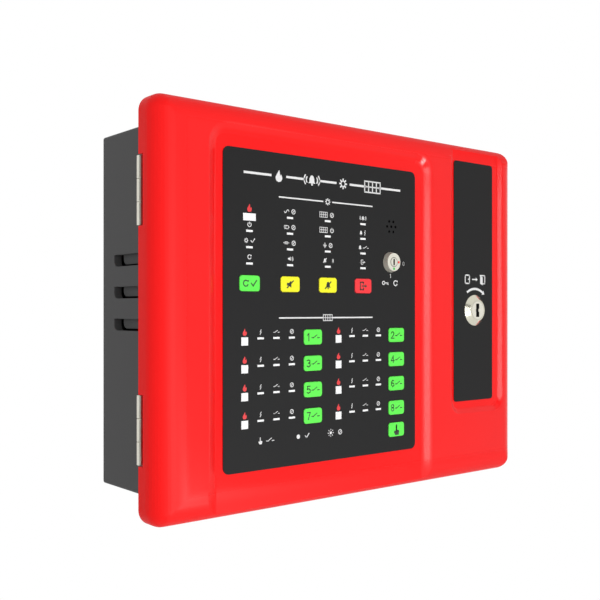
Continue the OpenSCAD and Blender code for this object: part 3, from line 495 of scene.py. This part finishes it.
def smoothed(name, broken=0.0, cell=0.0):
    """The node's own triangles joined at their shared points, shaded smooth except along edges that
    turn by more than SHARP_TURN; each point's normal leans to its larger faces. With a broken width,
    the sharp edges are bevelled by it first. With a cell, flat cuts that far apart in x and z part the
    long faces, so that a bend at one end of a face doesn't show along all of it."""
    mesh = frame["nodes"][name].data.copy()
    mesh.name = name + "_smooth"
    bm = bmesh.new()
    bm.from_mesh(mesh)
    bmesh.ops.remove_doubles(bm, verts=bm.verts, dist=JOIN_WITHIN)
    if cell:
        low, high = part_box(name)
        for axis in (0, 2):
            side = Vector([float(i == axis) for i in range(3)])
            for at in np.arange(low[axis] + cell / 2, high[axis], cell):
                bmesh.ops.bisect_plane(bm, geom=bm.verts[:] + bm.edges[:] + bm.faces[:],
                                       dist=CUT_WITHIN, plane_co=side * at, plane_no=side)
    for face in bm.faces:
        face.smooth = True
    for edge in bm.edges:
        edge.smooth = len(edge.link_faces) == 2 and edge.calc_face_angle(0.0) < SHARP_TURN
    bm.to_mesh(mesh)
    bm.free()
    piece = placed(name + "_smooth", mesh)
    if broken:
        bevel = piece.modifiers.new("broken edges", "BEVEL")
        bevel.width, bevel.segments = broken, 2
        bevel.limit_method, bevel.angle_limit = "ANGLE", BROKEN_TURN
    even = piece.modifiers.new("even normals", "WEIGHTED_NORMAL")
    even.keep_sharp = True
    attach(piece, body_of[name])
    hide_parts(name)


smoothed("door_shell", cell=DOOR_CELL)
for name in ("back_box", "lock_body", "lock_plug", "switch_body", "switch_plug",
             "hinge_pins", "capacitors", "mains_fuse_holder"):
    smoothed(name)
for name in ("hinge_box_leaves", "hinge_door_leaves"):
    smoothed(name, LEAF_EDGE)
for name in frame["nodes"]:
    if name.startswith("key_"):
        smoothed(name, KEY_EDGE)


# Printed marks, in millimetres on the label: u to the right, v up. A strip is a 2 by n grid of points

def round_points(t):
    """Points of the unit circle: (cos t, sin t) for angles t in radians."""
    return np.stack([np.cos(t), np.sin(t)], axis=1)


def ribbon(points, width):
    """A line's path with a flat profile: each point moved half the width along the path's normal."""
    p = np.asarray(points, float)
    along = np.gradient(p, axis=0)
    along /= np.linalg.norm(along, axis=1, keepdims=True)
    side = np.stack([-along[:, 1], along[:, 0]], axis=1) * width / 2
    return np.stack([p - side, p + side])


def bar(a, b, width):
    """A straight ribbon from a to b."""
    return ribbon([a, b], width)


def corners(points, width):
    """A path with square corners, as one bar for each straight run, each run half a width longer."""
    p = np.asarray(points, float)
    runs = []
    for a, b in zip(p[:-1], p[1:]):
        d = (b - a) / np.linalg.norm(b - a) * width / 2
        runs.append(bar(a - d, b + d, width))
    return runs


def sweep(centre, radius, start, end, width, count=25):
    """Part of a ring: a ribbon along the circle from the start to the end angle in degrees."""
    t = np.radians(np.linspace(start, end, count))
    return ribbon(np.asarray(centre) + radius * round_points(t), width)


def filled(outline, centre):
    """A closed outline joined to a point in it: centre + s (outline - centre), s from 0 to 1."""
    o = np.asarray(outline, float)
    o = np.vstack([o, o[:1]])
    return np.stack([np.broadcast_to(np.asarray(centre, float), o.shape), o])


def dot(centre, radius, count=24):
    """A disc: the circle of that radius filled from its centre."""
    t = np.linspace(0, 2 * np.pi, count, endpoint=False)
    return filled(np.asarray(centre) + radius * round_points(t), centre)


def curve(points, count=8):
    """A closed smooth line through the points: each span is a cubic set by its four neighbours."""
    p = np.asarray(points, float)
    a, b, c, d = (np.roll(p, s, axis=0)[:, None] for s in (1, 0, -1, -2))
    t = np.linspace(0, 1, count, endpoint=False)[None, :, None]
    square = (2 * a - 5 * b + 4 * c - d) * t ** 2
    cube = (3 * b - a - 3 * c + d) * t ** 3
    return (0.5 * (2 * b + (c - a) * t + square + cube)).reshape(-1, 2)


def moved(strips, at, size=1.0):
    """Strips scaled about the origin and then moved."""
    return [s * size + np.asarray(at) for s in strips]


def pair(a, b, apart):
    """Two symbols side by side."""
    return moved(a, (-apart / 2, 0)) + moved(b, (apart / 2, 0))


# Symbols, each about one unit high round the origin; LINE is their line width

LINE = 0.15
THIN = LINE * 0.8


def flame():
    """A smooth closed line through nine points, filled."""
    edge = curve([(0, -0.5), (0.27, -0.40), (0.36, -0.14), (0.24, 0.14), (0.13, 0.04), (0.05, 0.5),
                  (-0.17, 0.20), (-0.34, -0.10), (-0.27, -0.40)])
    return [filled(edge, (0.0, -0.18))]


def bell():
    """A flared outline, filled, with the clapper as a disc below."""
    edge = [(-0.42, -0.3), (-0.29, -0.18), (-0.27, 0.1), (-0.16, 0.34), (0, 0.42),
            (0.16, 0.34), (0.27, 0.1), (0.29, -0.18), (0.42, -0.3)]
    return [filled(edge[::-1], (0.0, -0.02)), dot((0, -0.4), 0.1)]


def waves():
    """Two arcs of sound about one centre, to the right."""
    return [sweep((0.1, 0), r, -40, 40, THIN, 9) for r in (0.42, 0.66)]


def ringing_bell():
    """The bell between waves and the same waves mirrored in u."""
    right = moved(waves(), (0.12, 0))
    return bell() + right + [np.flip(s * (-1, 1), 0) for s in right]


def slash():
    """A slanted bar to lay over another symbol."""
    return [bar((-0.5, -0.45), (0.5, 0.45), LINE)]


def crossed():
    """A ring with a slanted bar in it."""
    return [sweep((0, 0), 0.42, 0, 360, LINE, 33), bar((-0.3, -0.3), (0.3, 0.3), LINE)]


def power():
    """A ring open at the top, with an upright bar in the gap."""
    return [sweep((0, -0.04), 0.4, 125, 415, LINE, 29), bar((0, 0), (0, 0.5), LINE)]


def turn_arrow():
    """Most of a ring, with a filled triangle at its start."""
    head = [(0.16, 0.36), (0.50, 0.42), (0.40, 0.08)]
    return [sweep((0, 0), 0.38, 60, 345, LINE, 29), filled(head[::-1], (0.36, 0.28))]


def tick():
    """A short bar down and a long bar up."""
    return corners([(-0.4, 0.0), (-0.1, -0.34), (0.44, 0.38)], LINE * 1.1)


def outlined(left, right, half, width):
    """An upright rectangle's outline, half its height above and below the middle."""
    return corners([(left, -half), (right, -half), (right, half), (left, half), (left, -half)], width)


def battery():
    """A rectangle with a cap at its right end and a plus in it."""
    plus = [bar((-0.34, 0), (-0.06, 0), LINE), bar((-0.2, -0.14), (-0.2, 0.14), LINE)]
    return outlined(-0.55, 0.45, 0.3, THIN) + [bar((0.6, -0.14), (0.6, 0.14), LINE)] + plus


def fuse():
    """A rectangle with a wire through it."""
    return outlined(-0.36, 0.36, 0.2, THIN) + [bar((-0.72, 0), (0.72, 0), THIN)]


def mains_wave():
    """One period of a sine."""
    t = np.linspace(-1, 1, 25)
    return [ribbon(np.stack([t * 0.6, 0.3 * np.sin(np.pi * t)], axis=1), LINE)]


def earth():
    """An upright bar on three level bars that get shorter."""
    levels = ((0.45, 0.0), (0.28, -0.22), (0.12, -0.44))
    return [bar((0, 0.5), (0, 0.05), LINE)] + [bar((-half, v), (half, v), LINE) for half, v in levels]


def gear():
    """A ring whose outer radius is a clipped cosine with eight teeth."""
    t = np.linspace(0, 2 * np.pi, 96, endpoint=False)
    teeth = 0.38 + 0.1 * np.clip(3 * np.cos(8 * t), -1, 1)
    inner, outer = 0.2 * round_points(t), teeth[:, None] * round_points(t)
    return [np.stack([np.vstack([e, e[:1]]) for e in (inner, outer)])]


def bolt():
    """A zigzag of three bars."""
    return corners([(0.12, 0.46), (-0.16, 0.02), (0.14, 0.02), (-0.12, -0.46)], LINE)


def contact():
    """Two wires that end in discs, with a raised bar between them."""
    return [dot((-0.42, -0.1), 0.1, 12), dot((0.42, -0.1), 0.1, 12), bar((-0.42, -0.1), (0.3, 0.32), THIN),
            bar((-0.8, -0.1), (-0.42, -0.1), THIN), bar((0.42, -0.1), (0.8, -0.1), THIN)]


def horn():
    """A funnel's outline, filled."""
    edge = [(-0.5, -0.16), (-0.22, -0.16), (0.14, -0.42), (0.14, 0.42), (-0.22, 0.16), (-0.5, 0.16)]
    return [filled(edge, (-0.1, 0.0))]


def way_out():
    """A door frame open to the right, with an arrow through the gap."""
    head = [(0.34, 0.2), (0.34, -0.2), (0.64, 0)]
    opening = corners([(0.02, 0.26), (0.02, 0.46), (-0.5, 0.46), (-0.5, -0.46), (0.02, -0.46),
                       (0.02, -0.26)], LINE)
    return opening + [bar((-0.24, 0), (0.36, 0), LINE), filled(head[::-1], (0.42, 0.0))]


def zone_plan():
    """A grid of four by two rooms."""
    lines = [bar((x, -0.5), (x, 0.5), THIN) for x in np.linspace(-1, 1, 5)]
    return lines + [bar((-1.06, z), (1.06, z), THIN) for z in (-0.5, 0, 0.5)]


def door_key():
    """A ring, a shaft and two bits."""
    return [sweep((-0.42, 0), 0.26, 0, 360, LINE, 25), bar((-0.16, 0), (0.62, 0), LINE),
            bar((0.36, 0), (0.36, -0.24), LINE), bar((0.56, 0), (0.56, -0.3), LINE)]


def fingertip():
    """A raised finger above a folded hand: a filled outline, a wide bar and a disc at its tip."""
    edge = [(-0.1, 0.5), (-0.1, -0.06), (-0.3, -0.02), (-0.36, -0.2), (-0.16, -0.5),
            (0.3, -0.5), (0.4, -0.14), (0.34, 0.0), (0.1, 0.02), (0.1, 0.5)]
    return [filled(edge, (0.0, -0.2)), bar((0, -0.2), (0, 0.5), 0.2), dot((0, 0.5), 0.1, 12)]


def arrow():
    """A bar with a filled triangle at its right end."""
    head = [(0.22, 0.26), (0.22, -0.26), (0.62, 0)]
    return [bar((-0.6, 0), (0.26, 0), LINE * 1.2), filled(head[::-1], (0.32, 0.0))]


def closed_door():
    """A rectangle with a disc as its knob."""
    edge = [(-0.4, -0.5), (-0.4, 0.5), (0.4, 0.5), (0.4, -0.5), (-0.4, -0.5)]
    return corners(edge, LINE) + [dot((0.2, 0), 0.09, 12)]


def open_door():
    """A door frame with a filled leaf that swings out at its left."""
    leaf = [(-0.4, 0.5), (0.1, 0.3), (0.1, -0.7), (-0.4, -0.5)]
    opening = corners([(-0.4, 0.5), (0.5, 0.5), (0.5, -0.5), (0.1, -0.5)], LINE)
    return opening + [filled(leaf[::-1], (-0.15, -0.1))]


DIGITS = {
    0: [(0, 0.5), (-0.24, 0.36), (-0.28, 0), (-0.24, -0.36), (0, -0.5), (0.24, -0.36), (0.28, 0),
        (0.24, 0.36), (0, 0.5)],
    1: [(-0.2, 0.3), (0.04, 0.5), (0.04, -0.5)],
    2: [(-0.28, 0.26), (-0.2, 0.44), (0, 0.5), (0.2, 0.44), (0.28, 0.24), (0.18, 0.02),
        (-0.28, -0.5), (0.32, -0.5)],
    3: [(-0.26, 0.4), (0, 0.5), (0.22, 0.4), (0.24, 0.18), (0, 0.04), (0.26, -0.1), (0.28, -0.34),
        (0, -0.5), (-0.28, -0.38)],
    4: [(0.14, -0.5), (0.14, 0.5), (-0.32, -0.2), (0.34, -0.2)],
    5: [(0.26, 0.5), (-0.22, 0.5), (-0.26, 0.06), (0.04, 0.14), (0.28, -0.02), (0.28, -0.34),
        (0, -0.5), (-0.28, -0.4)],
    6: [(0.24, 0.42), (0, 0.5), (-0.24, 0.26), (-0.28, -0.2), (0, -0.5), (0.28, -0.32), (0.24, -0.04),
        (0, 0.08), (-0.26, -0.1)],
    7: [(-0.28, 0.5), (0.3, 0.5), (-0.06, -0.5)],
}


def digit(number):
    """A number drawn with straight bars, or for eight with two rings."""
    if number == 8:
        return [sweep((0, v), 0.25, 0, 360, LINE, 21) for v in (0.25, -0.25)]
    return corners(DIGITS[number], LINE)


# Laying print on the panel

# How far print stands proud of its face, in millimetres, and the edges too short to keep, in metres
PRINT_LIFT = 0.03
SPECK = 1e-7
# Clear space that a heading's rule leaves on each side of a symbol, as a share of the symbol's size
RULE_GAP = 0.8


def grid_quads(rows, columns):
    """Corner numbers of the quads between the points of a grid that are counted row by row."""
    i = (np.arange(rows - 1)[:, None] * columns + np.arange(columns - 1)).ravel()
    return np.stack([i, i + 1, i + columns + 1, i + columns], axis=1)


def quad_mesh(name, points, quads, finish):
    """A mesh of those points and quads in one finish."""
    mesh = bpy.data.meshes.new(name)
    mesh.from_pydata(points.tolist(), [], quads.tolist())
    mesh.materials.append(finish.material)
    return mesh


def printed(name, strips, face, body, finish):
    """Flat print: the strips' grids of points, laid just proud of the face they are on."""
    counts = [s.shape[1] for s in strips]
    starts = np.cumsum([0] + counts[:-1]) * 2
    flat = np.vstack([s.reshape(-1, 2) for s in strips]) * MM
    points = np.insert(flat, 1, -(face + PRINT_LIFT) * MM, axis=1)
    quads = np.vstack([start + grid_quads(2, count) for start, count in zip(starts, counts)])
    mesh = quad_mesh(name, points, quads, finish)
    bm = bmesh.new()
    bm.from_mesh(mesh)
    bmesh.ops.dissolve_degenerate(bm, dist=SPECK, edges=bm.edges)
    for quad in bm.faces:
        quad.normal_update()
        if quad.normal.y > 0:
            quad.normal_flip()
    bm.to_mesh(mesh)
    bm.free()
    piece = placed(name, mesh)
    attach(piece, body)


def headed(symbols, centre, size, half, width):
    """A heading: symbols spread evenly along a rule that stops short of each of them."""
    xs = np.linspace(-1, 1, len(symbols) + 2)[1:-1] * half
    marks = [m for x, s in zip(xs, symbols) for m in moved(s, (centre[0] + x, centre[1]), size)]
    gaps = np.repeat(xs, 2) + np.tile([-RULE_GAP, RULE_GAP], len(xs)) * size
    stops = centre[0] + np.concatenate([[-half], gaps, [half]])
    return marks + [bar((a, centre[1]), (b, centre[1]), width) for a, b in zip(stops[::2], stops[1::2])]


# Places on the labels and keys, in millimetres
MAIN_FACE, SIDE_FACE, KEY_FACE, SWITCH_FACE = (
    front(n) / MM for n in ("main_label", "side_label", "key_reset", "switch_body"))
MAIN_X = middle("main_label")[0] / MM
LOCK_MM, SWITCH_MM = np.array(LOCK) / MM, np.array(SWITCH) / MM
COLUMN_PITCH, FIRST_ROW, ROW_PITCH = 32.75, 60.4, 10.3
COLUMNS = MAIN_X + COLUMN_PITCH * np.arange(-2, 2)
ROWS = FIRST_ROW - ROW_PITCH * np.arange(4)
FIRST_ZONE, ZONE_GROUP_PITCH = (-56.7, -17.9), 79.0
ZONE_ROW_PITCH, ZONE_PITCH, ZONE_ALARM_GAP = 17.5, 12.75, 12.5
ZONES = [(MAIN_X + FIRST_ZONE[0] + ZONE_GROUP_PITCH * g, FIRST_ZONE[1] - ZONE_ROW_PITCH * r)
         for r in range(4) for g in range(2)]
SYSTEM_RISE, SYSTEM_SIZE, ALARM_SIZE = 4.2, 3.4, 5.0
ZONE_RISE, ZONE_SIZE, ZONE_ALARM_SIZE = 4.0, 3.2, 4.4
TITLE = {"size": 7.6, "half": 70.0, "width": 1.5}
SUBTITLE = {"size": 5.0, "half": 42.0, "width": 0.9}

# Headings
white, red = [], []
white += headed([flame(), ringing_bell(), gear(), zone_plan()], (MAIN_X, 87.0), **TITLE)
white += headed([gear()], (MAIN_X, 73.5), **SUBTITLE)
white += headed([moved(zone_plan(), (0, 0), 0.8)], (MAIN_X, -5.0), **SUBTITLE)

# One symbol above each system window, by column and row, and four above each zone's windows
system = {
    (0, 1): power(), (0, 2): pair(gear(), tick(), 1.5), (0, 3): turn_arrow(),
    (1, 0): pair(mains_wave(), crossed(), 1.7), (1, 1): pair(battery(), crossed(), 1.7),
    (1, 2): pair(fuse(), crossed(), 1.8), (1, 3): horn() + waves(),
    (2, 0): pair(zone_plan(), crossed(), 2.2), (2, 1): pair(zone_plan(), power(), 2.2),
    (2, 2): pair(earth(), crossed(), 1.5), (2, 3): pair(bell() + slash(), waves(), 1.5),
    (3, 0): ringing_bell(), (3, 1): pair(bell(), bolt(), 1.1), (3, 2): pair(bell(), contact(), 1.6),
    (3, 3): way_out(),
}
for (column, row), symbol in system.items():
    white += moved(symbol, (COLUMNS[column], ROWS[row] + SYSTEM_RISE), SYSTEM_SIZE)
red += moved(flame(), (COLUMNS[0], ROWS[0] + SYSTEM_RISE), ALARM_SIZE)
for x, z in ZONES:
    red += moved(flame(), (x - ZONE_ALARM_GAP, z + ZONE_RISE), ZONE_ALARM_SIZE)
    for i, symbol in enumerate((bolt(), contact(), crossed())):
        white += moved(symbol, (x + ZONE_PITCH * i, z + ZONE_RISE), ZONE_SIZE)

# Legend of the zones' lamps: a steady dot with a tick, a flashing dot with a crossed ring
LEGEND_Z, LEGEND_SIZE = -83.4, 3.6
STEADY, FLASHING = np.array([MAIN_X - 25.75, LEGEND_Z]), np.array([MAIN_X + 2.75, LEGEND_Z])
RAY_START, RAY_END, RAY_WIDTH = 1.7, 2.7, 0.45
white += moved(pair(fingertip(), contact(), 2.0), (MAIN_X - 53.0, LEGEND_Z), 4.0)
white += [dot(STEADY, 1.45), dot(FLASHING, 1.0)]
white += [bar(FLASHING + RAY_START * ray, FLASHING + RAY_END * ray, RAY_WIDTH)
          for ray in round_points(np.arange(8) * np.pi / 4)]
white += moved(tick(), STEADY + (7.5, 0), LEGEND_SIZE)
white += moved(crossed(), FLASHING + (8.5, 0), LEGEND_SIZE)

# Key switch: two numbers beside its two places and a key below it, and a dot for each place
DOT_OUT, DOT_RADIUS, NUMBER_SIZE = 4.8, 0.95, 2.6
white += moved(digit(0), SWITCH_MM + (13.4, -0.6), NUMBER_SIZE)
white += moved(digit(1), SWITCH_MM - (0, 9.8), NUMBER_SIZE)
white += moved(pair(door_key(), turn_arrow(), 2.2), SWITCH_MM - (0, 15.0), 4.6)
printed("print_white", white, MAIN_FACE, "door", ink_white)
printed("print_red", red, MAIN_FACE, "door", ink_red)
printed("switch_dot_red", [dot(SWITCH_MM + (DOT_OUT, 0), DOT_RADIUS)], SWITCH_FACE, "door", dot_red)
printed("switch_dot_green", [dot(SWITCH_MM - (0, DOT_OUT), DOT_RADIUS)], SWITCH_FACE, "door", dot_green)

# Narrow label: a closed door, an arrow and an open door above an arrow round the lock
DOORS_RISE, DOORS_APART, DOOR_SIZE, ARROW_SIZE = 24.2, 9.0, 6.4, 5.6
ARC_RADIUS, ARC_WIDTH, ARC_START, ARC_END = 16.8, 1.8, 124.0, 56.0
HEAD_HALF, HEAD_LENGTH = 2.0, 2.6
aside = round_points(np.radians([ARC_END]))[0]
ahead = np.array([aside[1], -aside[0]])
tip = LOCK_MM + ARC_RADIUS * aside
head = [tip + HEAD_HALF * aside, tip + HEAD_LENGTH * ahead, tip - HEAD_HALF * aside]
lock_print = moved(closed_door(), LOCK_MM + (-DOORS_APART, DOORS_RISE), DOOR_SIZE)
lock_print += moved(open_door(), LOCK_MM + (DOORS_APART, DOORS_RISE), DOOR_SIZE)
lock_print += moved(arrow(), LOCK_MM + (0.0, DOORS_RISE), ARROW_SIZE)
lock_print += [sweep(LOCK_MM, ARC_RADIUS, ARC_START, ARC_END, ARC_WIDTH, 17),
               filled(head, tip + 0.6 * ahead)]
printed("print_lock", lock_print, SIDE_FACE, "door", ink_white)

# Marks on the keys, from the key's middle
KEY_MARK, ZONE_MARK = 5.6, 4.6
marks = {
    "key_reset": moved(pair(turn_arrow(), tick(), 1.3), (0, 0), 4.8),
    "key_buzzer_silence": moved(horn() + slash(), (0, 0), KEY_MARK),
    "key_sounder_silence": moved(bell() + slash(), (0, 0), KEY_MARK),
    "key_evacuate": moved(way_out(), (0, 0), KEY_MARK),
    "key_touch": moved(fingertip(), (0, -0.6), 7.0),
}
for n in range(1, 9):
    marks["key_zone_%d" % n] = moved(digit(n), (-3.9, 0), ZONE_MARK) + moved(contact(), (2.2, 0), ZONE_MARK)
for name, strips in marks.items():
    printed("print_" + name, moved(strips, np.array(middle(name)) / MM), KEY_FACE, body_of[name], ink_dark)


# Studio

FLOOR_HALF, FLOOR_LEVEL = 6.0, -0.6
FLAG_RADIUS, FLAG_TURN, FLAG_HEIGHT = 1.7, (-12.0, 68.0), (-0.55, 1.0)
FLAG_ROWS, FLAG_COLUMNS = 5, 21
SOFT_LIGHT = 0.49
CAMERA_AT, CAMERA_ALONG = (-0.426, -0.5425, 0.0), (0.6332, 0.7740, 0.0)
CAMERA_LENS, CAMERA_SENSOR, CAMERA_SHIFT = 52.91, 36.0, (-0.0003, 0.0171)


def studio_floor():
    """A wide pale floor well below the panel, as a flat grid; seen straight or mirrored it is plain white."""
    f = Finish("studio_floor")
    f.feed("Base Color", f.blend(f.noise(6.0), plain_grey(0.86), plain_grey(0.9)))
    glow = f.node("ShaderNodeEmission", {}, {"Color": WHITE, "Strength": 1.0})
    f.surface(f.node("ShaderNodeMixShader", {}, {0: f.seen(), 1: Wire(f, f.shader.outputs[0]), 2: glow}))
    t = np.linspace(-1, 1, 3) * FLOOR_HALF
    u, v = np.meshgrid(t, t)
    points = np.stack([u, v, np.full_like(u, FLOOR_LEVEL)], axis=-1).reshape(-1, 3)
    floor = placed("studio_floor", quad_mesh("studio_floor", points, grid_quads(3, 3), f))


def studio_flag():
    """A grey card round the camera's side, as an upright arc: point = radius (-sin a, -cos a) + height.
    It shows only in mirrored light, so metal gets a darker side and the light level stays as it is."""
    f = Finish("studio_flag")
    grey = f.blend(f.noise(3.0), plain_grey(0.26), plain_grey(0.31))
    f.surface(f.node("ShaderNodeEmission", {}, {"Color": grey, "Strength": 1.0}))
    turns = np.radians(np.linspace(*FLAG_TURN, FLAG_COLUMNS))
    a, h = np.meshgrid(turns, np.linspace(*FLAG_HEIGHT, FLAG_ROWS))
    points = np.stack([-FLAG_RADIUS * np.sin(a), -FLAG_RADIUS * np.cos(a), h], axis=-1).reshape(-1, 3)
    flag = placed("studio_flag", quad_mesh("studio_flag", points, grid_quads(FLAG_ROWS, FLAG_COLUMNS), f))
    flag.visible_camera = flag.visible_diffuse = flag.visible_transmission = flag.visible_shadow = False


def facing(direction):
    """The turn that points a lamp or a camera along a direction."""
    return Vector(direction).to_track_quat("-Z", "Y").to_euler()


def studio_lamp(name, at, aim, size, watts, lights=True, mirrored=True):
    """A rectangular lamp that may be left out of the plain light or of mirrored light."""
    data = bpy.data.lights.new(name, "AREA")
    data.shape, data.energy = "RECTANGLE", watts
    data.size, data.size_y = size
    lamp = placed(name, data)
    lamp.location = at
    lamp.rotation_euler = facing(Vector(aim) - Vector(at))
    lamp.visible_diffuse, lamp.visible_glossy = lights, mirrored


def studio_world():
    """White where it is seen, straight or mirrored, and a plain soft light to everything else."""
    world = bpy.data.worlds.new("studio")
    tree = Tree(world)
    back = tree.nodes["Background"]
    strength = tree.seen() * (1.0 - SOFT_LIGHT) + SOFT_LIGHT
    tree.links.new(strength.socket, back.inputs["Strength"])
    back.inputs["Color"].default_value = WHITE
    bpy.context.scene.world = world


def photo_camera():
    """Level camera to the left of the door, at the photograph's distance and lens."""
    data = bpy.data.cameras.new("photo_camera")
    data.lens, data.sensor_width = CAMERA_LENS, CAMERA_SENSOR
    data.shift_x, data.shift_y = CAMERA_SHIFT
    data.clip_start, data.clip_end = 0.01, 50.0
    camera = placed("photo_camera", data)
    camera.location = CAMERA_AT
    camera.rotation_euler = facing(CAMERA_ALONG)
    bpy.context.scene.camera = camera


studio_floor()
studio_flag()
studio_lamp("key_lamp", at=(-0.128, -0.85, -0.07), aim=(-0.02, -0.09, 0), size=(0.20, 0.60), watts=3.2)
studio_lamp("low_lamp", at=(0.305, -1.098, -0.495), aim=(0.06, -0.09, 0.109), size=(0.32, 0.14),
            watts=5.0, lights=False)
studio_lamp("side_fill", at=(-1.0, -0.6, 0.2), aim=(-0.1, -0.08, 0), size=(0.8, 0.8),
            watts=1.6, mirrored=False)
studio_world()
photo_camera()
bpy.context.scene.view_settings.view_transform = "Standard"
